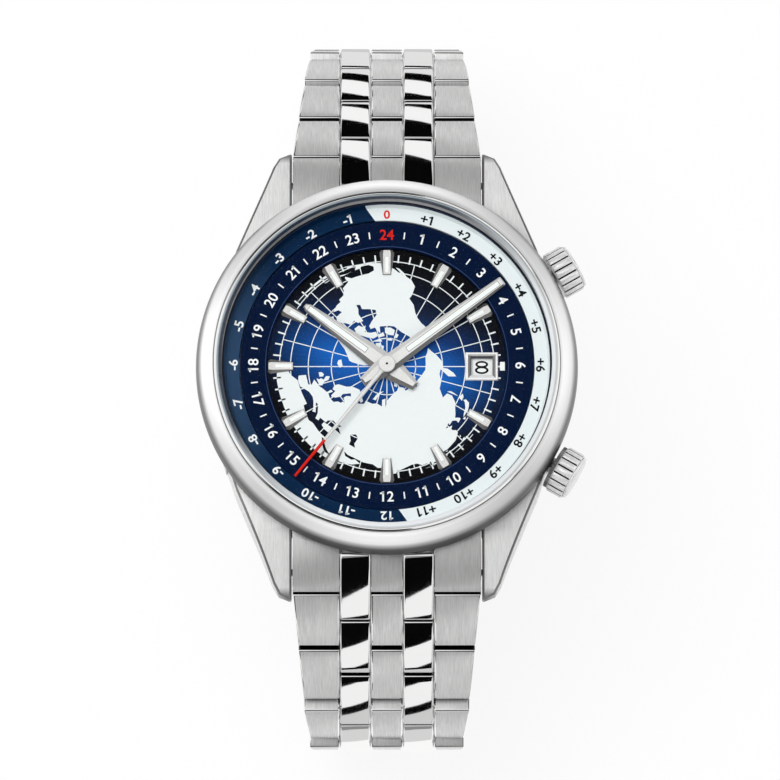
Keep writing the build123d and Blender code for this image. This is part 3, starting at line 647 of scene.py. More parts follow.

# Dial: a brass disc with fine rays brushed from the centre under blue lacquer. Its bright blue band across
# the middle is a painted sheen that falls to painted near black at the top and the foot, and it is darker
# towards the edge.
sea, tree = new_material("blue lacquer on sunray brushed brass")
x, y, _ = parted(tree)
leaning = maths(tree, "MULTIPLY_ADD", x, 0.22, y)
away = maths(tree, "ABSOLUTE", leaning)
height_share = span(tree, away, 0, 12 * MM)
painted_sheen_tones = (
    (0.0, "#1560B8"), (0.16, "#1452A0"), (0.34, "#103670"), (0.55, "#101F3C"), (0.8, "#0A1426"),
    (1.0, "#060B16"),
)
band = ramp(tree, height_share, painted_sheen_tones)
out = from_axis(tree, x, y)
rim = span(tree, out, 6 * MM, 12.6 * MM, 1.0, 0.08)
ray_angle = maths(tree, "ARCTAN2", y, x)
rays = add(tree, "TexNoise", {"W": ray_angle, "Scale": 60.0, "Detail": 3.0}, noise_dimensions="1D")
ray_shade = span(tree, rays, 0.3, 0.7, 0.82, 1.12)
level = maths(tree, "MULTIPLY", rim, ray_shade)
lacquer_with_painted_sheen = add(tree, "VectorMath", {0: band, "Scale": level}, operation="SCALE")
surface(tree, {"Base Color": lacquer_with_painted_sheen, "Roughness": 0.35, "Specular IOR Level": 0.1})
dress(nodes["dial"], sea)


def lacquer(name, code, roughness):
    """An even paint whose tone varies a little, as printed or sprayed paint does."""
    material, tree = new_material(name)
    tone = span(tree, mottled(tree, 0.3), 0, 1, 0.94, 1.0)
    colour = blend(tree, tone, paint("#000000"), paint(code))
    surface(tree, {"Base Color": colour, "Roughness": roughness, "Specular IOR Level": 0.05})
    return material


# The map: white enamel printed on the dial. It shows the northern half of the globe from over the pole, with
# parallels and meridians every 15 degrees. Each coast lists longitudes and latitudes in turn, in degrees.
map_radius = 12.2
map_turn = 195
print_height = 9.1
print_thickness = 0.02
enamel = lacquer("white enamel print", "#E6ECEC", 0.45)
coasts = (
    (-166, 68, -156, 71, -141, 70, -128, 70, -115, 68, -108, 68, -95, 68, -94, 72, -88, 68, -82, 68, -82, 66,
     -87, 64, -94, 61, -94, 58, -88, 56.5, -82, 55, -82, 52, -79, 51, -79, 54, -77, 57, -78, 62, -72, 61.5,
     -70, 59, -65, 60, -62, 57, -57, 53, -60, 50, -66, 50, -65, 47.5, -61, 46, -66, 44, -70, 43.5, -70, 41.5,
     -74, 40.5, -76, 37, -76, 35, -81, 31.5, -80, 27, -80.5, 25, -82.5, 28, -84, 30, -89, 30, -94, 29.5,
     -97.5, 27, -97.5, 22, -95, 18.5, -91, 18.5, -90, 21, -87, 21.5, -88, 16, -83, 15, -83.5, 11, -81, 9,
     -77.5, 8.5, -75, 11, -72, 12, -68, 10.5, -62, 10.5, -58, 8, -52, 5, -50, 0, -80, 0, -79, 2, -77.5, 6.5,
     -80, 7.3, -83, 8.3, -86, 11, -88, 13, -92, 14.5, -96, 16, -101, 17.5, -105.5, 20, -106, 23, -109, 26,
     -112.5, 30, -114.5, 31.3, -110, 24, -112, 25, -115, 29, -117, 32.5, -120.5, 34.5, -124, 39, -124, 46,
     -123, 49, -128, 52, -132, 56, -137, 58.5, -145, 60, -151, 60, -153, 58, -158, 56, -163, 54.8, -160, 57.5,
     -158, 58.5, -162, 60, -166, 62, -161, 64.5, -166, 65),
    (-73, 78, -68, 80, -60, 82, -45, 82.5, -30, 83.5, -20, 81.5, -18, 78, -20, 75, -22, 72, -24, 70, -32, 68,
     -38, 65.5, -42, 62, -44, 60, -48, 61, -52, 64, -54, 67, -52, 69.5, -55, 72, -58, 75, -66, 76),
    (-80, 73.5, -72, 71.5, -67, 69, -62, 66.5, -65, 63, -71, 63, -74, 65, -78, 65, -73, 68, -80, 70, -88,
     70.5, -89, 73),
    (-117, 73, -108, 73, -102, 72, -102, 69, -110, 68.9, -117, 70),
    (-125, 72, -124, 74, -118, 74, -120, 71.5),
    (-90, 77, -80, 76.3, -76, 78.5, -66, 80.5, -62, 82.5, -75, 83, -90, 82, -86, 80),
    (-97, 79, -93, 81, -89, 80.3, -90, 78.3),
    (-95, 76.5, -81, 75.5, -80, 74.7, -92, 74.7),
    (-117, 76, -106, 76, -106, 75, -113, 74.5),
    (-101, 73.5, -91, 74, -91, 72.3, -99, 71.5),
    (-59, 48, -56, 51.5, -53, 48.5, -55.5, 47),
    (-85, 22, -80, 23, -75, 20.5, -77.5, 20, -82, 22.3),
    (-74, 19.8, -69, 19.3, -69, 18.3, -74, 18.2),
    (-24, 65.5, -16, 66.5, -13.5, 65, -18.5, 63.4, -22.5, 63.9),
    (-5.5, 50, 1, 51, 1.5, 52.8, -1, 54.5, -2, 57.5, -5, 58.6, -6, 56.5, -3, 54.5, -4.8, 53, -4, 51.6),
    (-10, 52, -6.3, 52.2, -6, 54.5, -8, 55.2, -10, 54),
    (11, 79.5, 20, 80.3, 27, 80, 18, 77, 14, 77.5),
    (52, 71, 57, 71, 60, 74.5, 68, 76.7, 60, 76, 55, 74),
    (95, 79, 100, 81, 105, 79, 100, 78),
    (138, 75.5, 150, 75.3, 142, 73.6),
    (131, 34, 133, 35.5, 137, 37, 140, 39.5, 141, 41.3, 142, 39.5, 140.8, 36, 139, 35, 136, 33.7),
    (140, 42, 141.5, 45.3, 145, 43.5, 143, 42),
    (130, 33.5, 132, 33, 131, 31.2, 130, 32),
    (142, 46, 142, 54, 143.5, 52, 143, 49),
    (120.2, 23, 121.5, 25.2, 121, 22),
    (120, 16, 121, 18.5, 122.2, 18.3, 121.7, 15, 124, 13, 121, 13.8),
    (122, 7, 124, 9, 126.3, 8.5, 126, 6, 124, 6),
    (109, 0, 109.5, 1.8, 113, 3.2, 116.5, 7, 119, 5, 117.5, 2, 118, 0),
    (95.3, 5.6, 98, 4.2, 100.5, 2.2, 103.5, 0, 99.8, 0, 98.5, 1.8, 96, 4),
    (80, 9.5, 81.8, 7.5, 80.5, 6),
    (108.7, 19.2, 110.5, 20, 110, 18.4),
    (-9, 37, -9, 43, -2, 43.5, -1.2, 46, -4.7, 48.4, -1.5, 49.7, 2, 51, 4.5, 52.5, 8.5, 54, 8, 57, 10.5, 57.6,
     10, 54.5, 14, 54, 19, 54.5, 21, 57, 24, 58, 24, 59.3, 30, 60, 25, 60.3, 21.5, 61, 21.5, 63, 25.5, 65, 22,
     66, 17.5, 62, 18.5, 60, 16.5, 57, 14.5, 55.5, 12.8, 55.5, 11, 59, 8, 58, 5, 60, 5.5, 62.3, 12, 66, 15,
     68.5, 20, 70, 26, 71, 31, 70.2, 41, 67.5, 40, 66, 33, 66.8, 35, 64.3, 39, 65, 44, 66.5, 44, 68.5, 54,
     68.5, 60, 69.5, 68, 68.3, 67, 72, 72.5, 72.8, 73, 68, 76, 72, 81, 73.5, 87, 75, 98, 76.2, 104, 77.7, 113,
     75.8, 112, 73.7, 127, 73.3, 130, 71, 140, 72.5, 152, 71, 160, 69.7, 170, 69.5, 180, 69, 184, 67.5, 190,
     66, 183, 64.5, 177.5, 62.5, 170, 60, 163.5, 59.5, 163, 57, 159.5, 53, 156.7, 51, 155.8, 56, 162, 61, 157,
     61.5, 149, 59.5, 142, 59, 135.5, 54.7, 140.5, 53.5, 140.5, 50, 137, 46, 132, 43, 129.7, 41, 127.5, 39.5,
     129.3, 36.5, 129, 35.2, 126.3, 34.5, 126.5, 37.3, 124.8, 39.6, 121.3, 39, 121.8, 40.8, 118, 39, 122.3,
     37, 119.5, 35, 121.8, 31.5, 121.5, 28.5, 117.5, 23.8, 110.5, 21, 108, 21.5, 105.8, 18.7, 108.8, 15, 109,
     11.7, 105, 9, 104.8, 10.5, 101, 13, 100, 10.5, 103.3, 4.5, 103.5, 1.5, 100.5, 5.5, 98.3, 9, 98.5, 14, 97,
     16.8, 94.3, 16.5, 92, 21.5, 89, 22, 86.5, 20.5, 82, 16.5, 80.2, 13.5, 79.8, 10.5, 77.5, 8.2, 74.5, 14,
     72.8, 19, 72.5, 21.5, 70, 21, 67, 25, 61.5, 25.2, 57, 27, 51.5, 28, 48.5, 30.2, 50.5, 25.5, 54.5, 24.2,
     56.3, 26, 59.8, 22.5, 55.5, 17.5, 49, 14, 43.5, 12.8, 42.7, 16.5, 39, 21.5, 35, 28, 34.5, 29.5, 32.5,
     29.9, 35.5, 24, 37.3, 20, 39.5, 15.5, 43.2, 11.6, 51, 11.8, 48, 5, 43, 0, 9.5, 0, 9.5, 4, 4.5, 6.3, -2,
     4.8, -7.5, 4.4, -13, 8.5, -17, 14.5, -16.3, 19.5, -14.5, 25, -9.8, 30, -6, 35.8, 3, 36.8, 10.3, 37.3,
     10.5, 34, 15, 32.3, 20, 31, 23, 32.6, 30, 31.2, 34.3, 31.3, 36, 36.5, 30.5, 36.5, 27.3, 37.5, 27, 40.5,
     35, 42, 41.3, 41.5, 37, 45, 38.5, 47, 33.5, 46, 30.8, 46.3, 28, 43.5, 28, 41.3, 23, 40.5, 23.8, 38, 21.5,
     37, 19.5, 41, 13.5, 45.5, 12.5, 44, 18.3, 40, 16.5, 38.2, 15.5, 40, 10.5, 43, 7.5, 43.8, 3.2, 42.5, -0.3,
     39, -2, 36.8, -5.6, 36.1),
    (47, 45, 51, 47, 53.5, 45, 52.5, 40, 54, 37, 49.5, 37.7, 49.5, 41),
)


def polar(reach, turn):
    return reach * cos(turn), reach * sin(turn)


def seen_from_pole(longitude, latitude):
    return polar(map_radius * cos(radians(latitude)), radians(map_turn + longitude))


def printed(name, outlines, height, thickness):
    """Flat closed outlines in mm, filled and raised a little; one inside another is a hole."""
    curve = bpy.data.curves.new(name, "CURVE")
    curve.dimensions = "2D"
    curve.fill_mode = "BOTH"
    for outline in outlines:
        spline = curve.splines.new("POLY")
        spline.points.add(len(outline) - 1)
        for point, (x, y) in zip(spline.points, outline):
            point.co = (x * MM, y * MM, 0, 1)
        spline.use_cyclic_u = True
    curve.extrude = thickness / 2 * MM
    piece = bpy.data.objects.new(name, curve)
    bpy.context.scene.collection.objects.link(piece)
    pick(piece)
    bpy.ops.object.convert(target="MESH")
    piece = bpy.context.object
    piece.data.transform(Matrix.Translation((0, 0, (height + thickness / 2) * MM)))
    return closed(piece)


land = []
longest = 4
for coast in coasts:
    outline = []
    corners = list(zip(coast[::2], coast[1::2]))
    for (lon_a, lat_a), (lon_b, lat_b) in zip(corners, corners[1:] + corners[:1]):
        parts = max(1, round(abs(lon_b - lon_a) * cos(radians(lat_a)) / longest))
        for part in range(parts):
            share = part / parts
            outline.append(seen_from_pole(lon_a + (lon_b - lon_a) * share, lat_a + (lat_b - lat_a) * share))
    land.append(outline)
continents = printed("printed_continents", land, print_height, print_thickness)
finish(continents, enamel, "watch_head")


def rectangle(length, width, out):
    """Outline of a rectangle with its middle at a distance along X."""
    near, far = out - length / 2, out + length / 2
    return [(near, -width / 2), (far, -width / 2), (far, width / 2), (near, width / 2)]


def bar(length, width, out, clockwise):
    """Outline of a bar that points outwards, its middle at a radius, clockwise degrees from 12."""
    turn = radians(90 - clockwise)
    corners = rectangle(length, width, out)
    return [(a * cos(turn) - b * sin(turn), a * sin(turn) + b * cos(turn)) for a, b in corners]


def circle(radius, steps=120):
    return [polar(radius, 2 * pi * i / steps) for i in range(steps)]


grid_line = 0.1
meridian_start, meridian_end = 1.3, 11.75
window_start, window_half = 8.7, 1.45
lines = []
for i in range(24):
    clockwise = 90 - map_turn + 15 * i
    end = window_start if abs(clockwise % 360 - 90) < 5 else meridian_end
    lines.append(bar(end - meridian_start, grid_line, (end + meridian_start) / 2, clockwise))
meridians = printed("printed_meridians", lines, print_height, print_thickness / 2)
finish(meridians, enamel, "watch_head")
for latitude in (75, 60, 45, 30, 15):
    out = map_radius * cos(radians(latitude))
    rims = [circle(out + grid_line / 2), circle(out - grid_line / 2)]
    if out > window_start:
        skipped = atan2(window_half, out)
        turns = [skipped + (2 * pi - 2 * skipped) * i / 120 for i in range(121)]
        outer = [polar(out + grid_line / 2, turn) for turn in turns]
        rims = [outer + [polar(out - grid_line / 2, turn) for turn in turns[::-1]]]
    parallel = printed(f"printed_parallel_{latitude}", rims, print_height, print_thickness / 2)
    finish(parallel, enamel, "watch_head")
block_at = (0.53, 0.96, 12.66, 90)
ticks = [bar(0.85, 0.17, 12.1, 6 * i) for i in range(60)] + [bar(*block_at)]
minute_track = printed("printed_minute_track", ticks, print_height, print_thickness)
finish(minute_track, enamel, "watch_head")

# Hour ring: the fixed dark blue ring round the map, with plain 24-hour figures printed in white and
# a short stroke for each half hour. The figure at the top is red.
ring_in, ring_out = 13.15, 16.1
ring_foot, ring_top = 9.1, 9.7
blue_lacquer = lacquer("dark blue lacquer", "#001130", 0.3)
white_print = lacquer("white print", "#F2F5F5", 0.5)
black_print = lacquer("black print", "#15181C", 0.5)
red_print = lacquer("red print", "#D8261C", 0.45)
ring_edge = 0.12
profile = [(ring_in, ring_foot), (ring_out, ring_foot), (ring_out, ring_top), (ring_in + ring_edge, ring_top)]
hour_ring = turned("hour_ring", profile + [(ring_in, ring_top - ring_edge)], fine_steps)
finish(hour_ring, blue_lacquer, "watch_head", "city_ring")


def flagged(piece, text):
    """Gives each figure 1 its short flag."""
    edit_all()
    bpy.ops.mesh.separate(type="LOOSE")
    bpy.ops.object.mode_set(mode="OBJECT")
    glyphs = list(bpy.context.selected_objects)
    glyphs.sort(key=lambda glyph: min(vertex.co.x for vertex in glyph.data.vertices))
    reach, drop, thick, half = 0.15 / MM, 0.1 / MM, 0.09 / MM, 0.01 / MM
    flags = []
    for letter, glyph in zip(text, glyphs):
        if letter == "1":
            left = min(vertex.co.x for vertex in glyph.data.vertices) / MM
            top = max(vertex.co.y for vertex in glyph.data.vertices) / MM
            stem, tip = left + thick, left - reach
            corners = ((stem, top), (tip, top - drop), (tip, top - drop - thick), (stem, top - 2 * thick))
            flags.append(drawn_out(loop_of("flag", [(x, y, -half) for x, y in corners]), (0, 0, 2 * half)))
    return joined("figure", glyphs + flags)


def figure(text, cap_height, out, clockwise, level, inward, wide, weight):
    """Printed text in mm, its middle at a radius and an angle, its top away from the centre."""
    deselect()
    bpy.ops.object.text_add()
    words = bpy.context.object
    words.data.body = text
    words.data.extrude = 0.01
    words.data.offset = weight
    words.data.resolution_u = 4
    bpy.ops.object.convert(target="MESH")
    piece = closed(bpy.context.object)
    if "1" in text:
        piece = flagged(piece, text)
    corners = [vertex.co for vertex in piece.data.vertices]
    high = max(corner.y for corner in corners)
    low = 0.0 if text[0] in "+-" else min(corner.y for corner in corners)
    left, right = min(corner.x for corner in corners), max(corner.x for corner in corners)
    size = cap_height / (high - low)
    place = Matrix.Rotation(radians(-clockwise + (180 if inward else 0)), 4, "Z")
    away = Vector((sin(radians(clockwise)) * out, cos(radians(clockwise)) * out, 0))
    for vertex in piece.data.vertices:
        x = (vertex.co.x - (left + right) / 2) * size * wide
        y = (vertex.co.y - (low + high) / 2) * size
        z = level + (print_thickness if vertex.co.z > 0 else 0)
        vertex.co = (place @ Vector((x, y, 0)) + away + Vector((0, 0, z))) * MM
    return piece


hour_height, hour_reach, hour_weight = 1.15, 14.65, 0.012
hours = []
for hour in range(1, 24):
    inward = 6 < hour < 18
    hours.append(figure(str(hour), hour_height, hour_reach, 15 * hour, ring_top, inward, 1.0, hour_weight))
strokes = [bar(0.75, 0.14, hour_reach, 15 * hour + 7.5) for hour in range(24)]
hours.append(printed("strokes", strokes, ring_top, print_thickness))
hour_figures = joined("printed_hour_figures", hours)
finish(hour_figures, white_print, "watch_head")
top_figure = figure("24", hour_height, hour_reach, 0, ring_top, False, 1.0, hour_weight)
top_figure.name = "printed_hour_24"
finish(top_figure, red_print, "watch_head")
rims = [circle(ring_in + 0.2), circle(ring_in + 0.13)]
edge_line = printed("printed_ring_edge", rims, ring_top, print_thickness / 2)
finish(edge_line, lacquer("pale blue print", "#34466E", 0.4), "watch_head")

# Offset ring: the inner ring that the upper crown turns. Half of it is lacquered white and half dark blue,
# parted by two slanting lines, with its figures printed in black, white and red.
turning_in, turning_out = 16.2, 18.0
turning_foot, turning_top = 7.5, 10.0
two_tone, tree = new_material("white and dark blue lacquer")
x, y, _ = parted(tree)
half = maths(tree, "SIGN", y)
leaning = maths(tree, "MULTIPLY_ADD", y, 0.7, x)
past = maths(tree, "MULTIPLY_ADD", half, -10 * MM, leaning)
pale = maths(tree, "GREATER_THAN", past, 0.0)
out = from_axis(tree, x, y)
at_edge = maths(tree, "GREATER_THAN", out, 17.88 * MM)
# Painted sheen: the dark blue half is lighter towards 9 o'clock.
sheen = span(tree, x, -17.5 * MM, -12.5 * MM)
deep = blend(tree, sheen, paint("#2E4866"), paint("#042342"))
tone = blend(tree, pale, deep, paint("#E2EAEB"))
with_edge = blend(tree, at_edge, tone, paint("#0B2C55"))
surface(tree, {"Base Color": with_edge, "Roughness": 0.3, "Specular IOR Level": 0.05})
offset_level = turning_top - 0.05
outside = [(turning_in, turning_foot), (turning_out, turning_foot), (turning_out, 10.6), (17.95, 10.6)]
inside = [(17.6, offset_level), (turning_in + 0.05, offset_level), (turning_in, turning_top - 0.1)]
turning_ring = turned("turning_ring", outside + inside, fine_steps)
finish(turning_ring, two_tone, "offset_ring", "offset_ring")
offset_height, offset_reach, offset_weight = 0.97, 16.86, 0.022
groups = {"white": [], "black": [], "red": []}
for step in range(24):
    offset = step if step <= 12 else step - 24
    colour = "red" if offset == 0 else "black" if 0 < offset < 12 else "white"
    text = f"+{offset}" if 0 < offset < 12 else str(offset)
    groups[colour].append(
        figure(text, offset_height, offset_reach, 15 * step, offset_level, False, 1.1, offset_weight)
    )
for colour, ink in (("white", white_print), ("black", black_print), ("red", red_print)):
    figures = joined(f"printed_offsets_{colour}", groups[colour])
    finish(figures, ink, "offset_ring")


def tapered(name, low, high, foot, top):
    """A solid from one outline at its foot to another, point for point, at its top."""
    piece = drawn_out(loop_of(name, [(x, y, foot) for x, y in low]), (0, 0, top - foot))
    for vertex in piece.data.vertices:
        if vertex.co.z > (foot + top) / 2 * MM:
            x, y = vertex.co.x / MM, vertex.co.y / MM
            nearest = min(range(len(low)), key=lambda k: (low[k][0] - x) ** 2 + (low[k][1] - y) ** 2)
            vertex.co.x, vertex.co.y = high[nearest][0] * MM, high[nearest][1] * MM
    return piece


def swung(points, clockwise):
    """Points with Y outwards, turned clockwise from 12 o'clock."""
    turn = radians(clockwise)
    return [(x * cos(turn) + y * sin(turn), y * cos(turn) - x * sin(turn)) for x, y in points]


def both_sides(right):
    """A symmetrical outline from the points on its right side, in the order from one end to the other."""
    left = [(-x, y) for x, y in right]
    return left[:1] + right + left[:0:-1]


# Hour markers: eleven cut steel batons with a point outwards and sloping sides darkened with painted shade,
# each with a strip of white lume, and a small white block after the date.
glow_paint = lacquer("white lume", "#EEF3F1", 0.6)
cut_grain = (0.15, 0.15, 0.15)
bright_steel = brushed_steel("satin cut steel", "#EAEAE8", 0.25, cut_grain, fine_clouds, 0.35)
matt_steel_and_flank_shade = brushed_steel("matt cut steel, painted flank shade", "#8E8E8D", 0.35, cut_grain, fine_clouds, 0.4)
marker_foot, marker_top = 9.1, 9.45
marker_low = both_sides([(0.47, 10.25), (0.82, 12.75), (0.62, 13.06)])
marker_high = both_sides([(0.38, 10.32), (0.42, 12.6), (0.36, 12.98)])
batons, strips = [], []
for hour in (0, 1, 2, 4, 5, 6, 7, 8, 9, 10, 11):
    low, high = swung(marker_low, 30 * hour), swung(marker_high, 30 * hour)
    batons.append(tapered("baton", low, high, marker_foot, marker_top))
    strips.append(bar(1.75, 0.36, 11.35, 30 * hour))
markers = joined("hour_markers_steel", batons)
finish(markers, bright_steel, "watch_head", "hour_markers")
# The sloping sides take the darker flank steel as painted shade.
faced(markers, matt_steel_and_flank_shade, lambda face: face.normal.z < 0.9)
lume_strips = printed("marker_lume", strips, marker_top, print_thickness)
finish(lume_strips, glow_paint, "watch_head")
outline = [(x, y, marker_foot) for x, y in bar(*block_at)]
block = drawn_out(loop_of("block_at_3", outline), (0, 0, 0.2))
finish(block, glow_paint, "watch_head")

# Date: a bright cut steel frame with two steps down to the window, and the white disc with its figure below.
frame_reach, frame_foot, frame_top, step_height = 10.4, 9.1, 9.35, 9.24
disc_top = 8.6


def oblong(length, width):
    return rectangle(length, width, frame_reach)


date_frame = tapered("date_frame_steel", oblong(3.62, 3.18), oblong(3.46, 3.02), frame_foot, frame_top)
hollow = tapered("hollow", oblong(2.3, 1.85), oblong(2.62, 2.3), frame_foot - 0.02, step_height + 0.001)
date_frame = cut(date_frame, hollow, "DIFFERENCE")
hollow = tapered("hollow", oblong(2.62, 2.3), oblong(3.1, 2.72), step_height, frame_top + 0.02)
date_frame = cut(date_frame, hollow, "DIFFERENCE")
frame_steel = brushed_steel("bright cut frame", "#FFFFFF", 0.3, cut_grain, fine_clouds, 0.15)
finish(date_frame, frame_steel, "watch_head", "date_frame")
shade_steel = lacquer("shaded window edge", "#4A4A4C", 0.5)
for material in (matt_steel_and_flank_shade, shade_steel, bright_steel):
    date_frame.data.materials.append(material)
# Painted shade on the inner slopes: the sides grey, and on the 12 o'clock side the lower step dark and the
# upper one bright.
for face in date_frame.data.polygons:
    if 0.02 < face.normal.z < 0.9 and abs(face.center.y) < 1.37 * MM:
        if face.normal.y < -0.2:
            face.material_index = 2 if face.center.z < step_height * MM else 3
        elif abs(face.normal.x) > 0.2 and abs(face.center.x - frame_reach * MM) < 1.56 * MM:
            face.material_index = 1
disc_paint = lacquer("white disc lacquer", "#F1F3F2", 0.5)
dress(nodes["date_disc"], disc_paint)


def oval(middle, wide, high, first=0, last=360, steps=28):
    """Points on an oval about a point above or below the window's middle."""
    turns = [radians(first + (last - first) * step / steps) for step in range(steps)]
    return [(frame_reach + wide * cos(turn), middle + high * sin(turn)) for turn in turns]


upper_loop, lower_loop = 0.345, -0.305
eight_outline = oval(upper_loop, 0.7, 0.38, -50, 230) + oval(lower_loop, 0.75, 0.42, 126, 414)
holes = [oval(upper_loop, 0.46, 0.18), oval(lower_loop, 0.5, 0.22)]
eight = printed("printed_date", [eight_outline] + holes, disc_top, print_thickness)
finish(eight, black_print, "date_disc")

# Hour and minute hands: steel blades cut with sloping sides, the sides towards 6 o'clock darker as painted
# shade, each with a strip of white lume in a thin edge of painted shade.
hand_steel = brushed_steel("satin steel hands", "#F0F0EE", 0.3, (0.1, 0.1, 0.1), fine_clouds, 0.25)
hand_thickness = 0.25
painted_groove_shade = lacquer("shaded groove edge", "#868684", 0.5)
hands = (
    ("hour", -53.3, 9.65, 11.25, 3.9, 2.4, 1.0, 0.55, 0.5),
    ("minute", 53.4, 10.05, 15.85, 3.3, 2.0, 1.1, 0.5, 0.18),
)
for name, clockwise, foot, length, tail, root, tip, lume_width, nib in hands:
    blunt = 0.5 - 0.5 * nib
    low = [(tip * blunt, length), (tip / 2, length - nib), (root / 2, root / 2), (root / 2, -root / 2)]
    low = swung(both_sides(low + [(tip / 2, -tail)]), clockwise)
    high = [(tip * 0.15, length - 0.15), (tip * 0.34, length - nib - 0.05), (root * 0.26, root / 2)]
    high = swung(both_sides(high + [(root * 0.26, -root / 2), (tip * 0.2, 0.2 - tail)]), clockwise)
    blade = tapered(f"{name}_hand_blade", low, high, foot, foot + hand_thickness)
    finish(blade, hand_steel, f"{name}_hand", f"{name}_hand")
    # The flanks that face 6 o'clock take the darker flank steel as painted shade.
    faced(blade, matt_steel_and_flank_shade, lambda face: face.normal.y < -0.2)
    start, end = 2.8, length - 0.6
    for part, wider, thickness, material in (
        ("groove", 0.12, 0.01, painted_groove_shade),
        ("lume", 0, print_thickness, glow_paint),
    ):
        outline = bar(end - start + wider, lume_width + wider, (start + end) / 2, clockwise)
        strip = printed(f"{name}_hand_{part}", [outline], foot + hand_thickness, thickness)
        finish(strip, material, f"{name}_hand")

# Seconds hand: a thin steel blade whose end is lacquered red, on a turned hub with a small dark pit.
second_turn, second_foot, second_length, red_from = 218.8, 10.45, 16.1, 10.9
second_root, second_tip = 0.5, 0.3


def second_half(along):
    return (second_root + (second_tip - second_root) * along / second_length) / 2


for name, start, end, material, replaced in (
    ("seconds_hand_blade", 0.0, red_from, hand_steel, ("seconds_hand",)),
    ("seconds_hand_end", red_from, second_length, red_print, ()),
):
    near, far = second_half(start), second_half(end)
    low = [(-near, start), (-far, end), (far, end), (near, start)]
    high = [(0.5 * x, y) for x, y in low]
    blade = tapered(name, swung(low, second_turn), swung(high, second_turn), second_foot, second_foot + 0.15)
    finish(blade, material, "seconds_hand", *replaced)
hub_foot, hub_top = 8.3, 10.8
profile = [(0, hub_foot), (0.35, hub_foot), (0.35, second_foot), (0.84, second_foot), (0.92, 10.52)]
hub = turned("seconds_hand_hub", profile + [(0.92, 10.72), (0.86, hub_top), (0, hub_top)], 48)
finish(hub, hand_steel, "seconds_hand")
pit = printed("seconds_hand_pit", [circle(0.13, 24)], hub_top, 0.01)
finish(pit, black_print, "seconds_hand")

# Crowns: satin-bright steel, fluted for the fingers, with a smooth domed cap.
crown_axis, crown_turn = 6.2, 30
crown_out, flutes, flute_depth = 2.72, 18, 0.22
crown_steel = brushed_steel("satin polished crowns", "#FFFFFF", 0.24, satin, fine_clouds, 0.3)
steps_per_flute = 10


def on_crown(piece, side, start):
    """Moves a piece from the watch's axis to a crown's, its foot at a distance from the watch's."""
    place = Matrix.Rotation(radians(side * crown_turn), 4, "Z") @ Matrix.Rotation(radians(90), 4, "Y")
    raised = Matrix.Translation((0, 0, crown_axis * MM))
    piece.data.transform(raised @ place @ Matrix.Translation((0, 0, start * MM)))


for name, side, start, grip_length in (("ring_crown", 1, 21.15, 2.4), ("setting_crown", -1, 21.55, 2.05)):
    fluted = []
    for step in range(flutes * steps_per_flute):
        angle = 2 * pi * step / (flutes * steps_per_flute)
        wave = abs(sin(angle * flutes / 2)) ** 0.6
        fluted.append((*polar(crown_out - flute_depth * (1 - wave), angle), 0))
    grip = drawn_out(loop_of(f"{name}_grip", fluted), (0, 0, grip_length))
    profile = [(0, -0.1), (2.45, -0.1), (2.45, 0), (2.73, 0.24), (2.73, grip_length - 0.25)]
    profile += [(2.5, grip_length), (2.5, grip_length + 0.1), (0, grip_length + 0.1)]
    barrel = turned("barrel", profile, 96)
    grip = cut(grip, barrel, "INTERSECT")
    smooth(grip, 50)
    grooves = []
    for face in grip.data.polygons:
        deep = hypot(face.center.x, face.center.y) < (crown_out - 0.6 * flute_depth) * MM
        if deep and abs(face.normal.z) < 0.5 and 0.3 * MM < face.center.z < (grip_length - 0.2) * MM:
            grooves.append(face.index)
    dome = [(2.3, -0.01), (2.46, 0.05), (2.48, 0.13), (2.4, 0.27), (2.1, 0.35), (1.2, 0.4), (0, 0.4)]
    cap = turned(f"{name}_cap", [(0, grip_length - 0.01)] + [(r, grip_length + z) for r, z in dome], 96)
    for piece, nodes_for in ((grip, (name,)), (cap, ())):
        on_crown(piece, side, start)
        finish(piece, crown_steel, name, *nodes_for)
    # The grooves between the flutes take the dark gap steel as painted shade.
    faced(grip, painted_gap_shade_steel, lambda face: face.index in grooves)

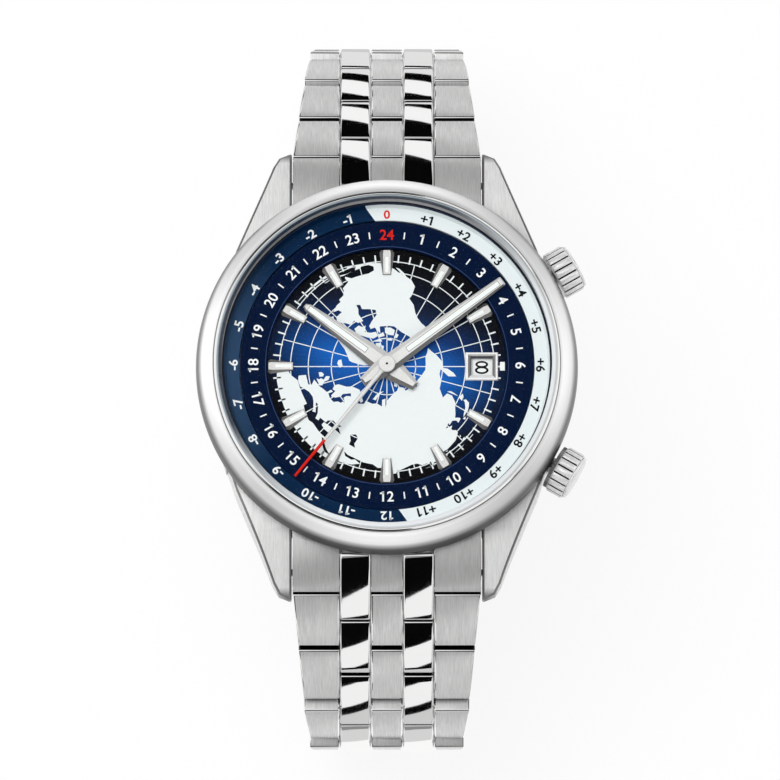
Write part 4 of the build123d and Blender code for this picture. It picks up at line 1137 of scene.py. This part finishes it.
# A finely ribbed collar of matt steel stands between the lower crown and the case, and moves with that
# crown. It is drawn out of a ribbed outline and bored through.
collar_start, collar_length, collar_out, collar_hole = 21.14, 0.38, 2.45, 1.3
ribs, rib_depth = 36, 0.2
ribbed = []
for step in range(ribs * 4):
    reach = collar_out - (0, 0.5, 1, 0.5)[step % 4] * rib_depth
    turn = 2 * pi * step / (ribs * 4)
    ribbed.append((*polar(reach, turn), 0))
collar = drawn_out(loop_of("setting_crown_collar", ribbed), (0, 0, collar_length))
opening = turned("opening", [(0, -0.1), (collar_hole, -0.1), (collar_hole, 0.5), (0, 0.5)], 48)
collar = cut(collar, opening, "DIFFERENCE")
on_crown(collar, -1, collar_start)
finish(collar, matt_steel_and_flank_shade, "setting_crown")

# Everything that the head hides or shows only from behind keeps its turned or milled shape: the screwed
# case back, the movement, its rotor, the stems and tubes, and the spring bars in the lugs.
back_steel = polished_steel("satin polished case back", "#DADAD9", 0.2)
stem_steel = polished_steel("turned stem steel", "#BDBDBC", 0.25)
movement_metal = brushed_steel("grained rhodium plate", "#B9B7B2", 0.35, (0.08, 0.08, 0.08), (2.0, 2.0, 2.0))
rotor_metal = brushed_steel("gilt rotor", "#C9A765", 0.3, (0.12, 4.0, 4.0), (1.5, 6.0, 6.0))
for name, material in (
    ("case_back", back_steel),
    ("movement", movement_metal),
    ("rotor", rotor_metal),
    ("crown_tubes", stem_steel),
    ("ring_stem", stem_steel),
    ("winding_stem", stem_steel),
    ("stem_collar", stem_steel),
    ("lug_bar_12", stem_steel),
    ("lug_bar_6", stem_steel),
):
    dress(nodes[name], material)

# Clasp: a folded steel cover brushed along the strand, two satin blades that fold under it, two push
# pieces in its sides, and the spring bar that holds the last row.
cover_steel = brushed_steel("brushed steel clasp", "#D2D2D1", 0.34, grain, grain_clouds)
for name, material in (
    ("clasp_cover", cover_steel),
    ("clasp_long_blade", back_steel),
    ("clasp_short_blade", back_steel),
    ("clasp_pusher_right", mirror_steel),
    ("clasp_pusher_left", mirror_steel),
    ("clasp_bar", stem_steel),
):
    dress(nodes[name], material)
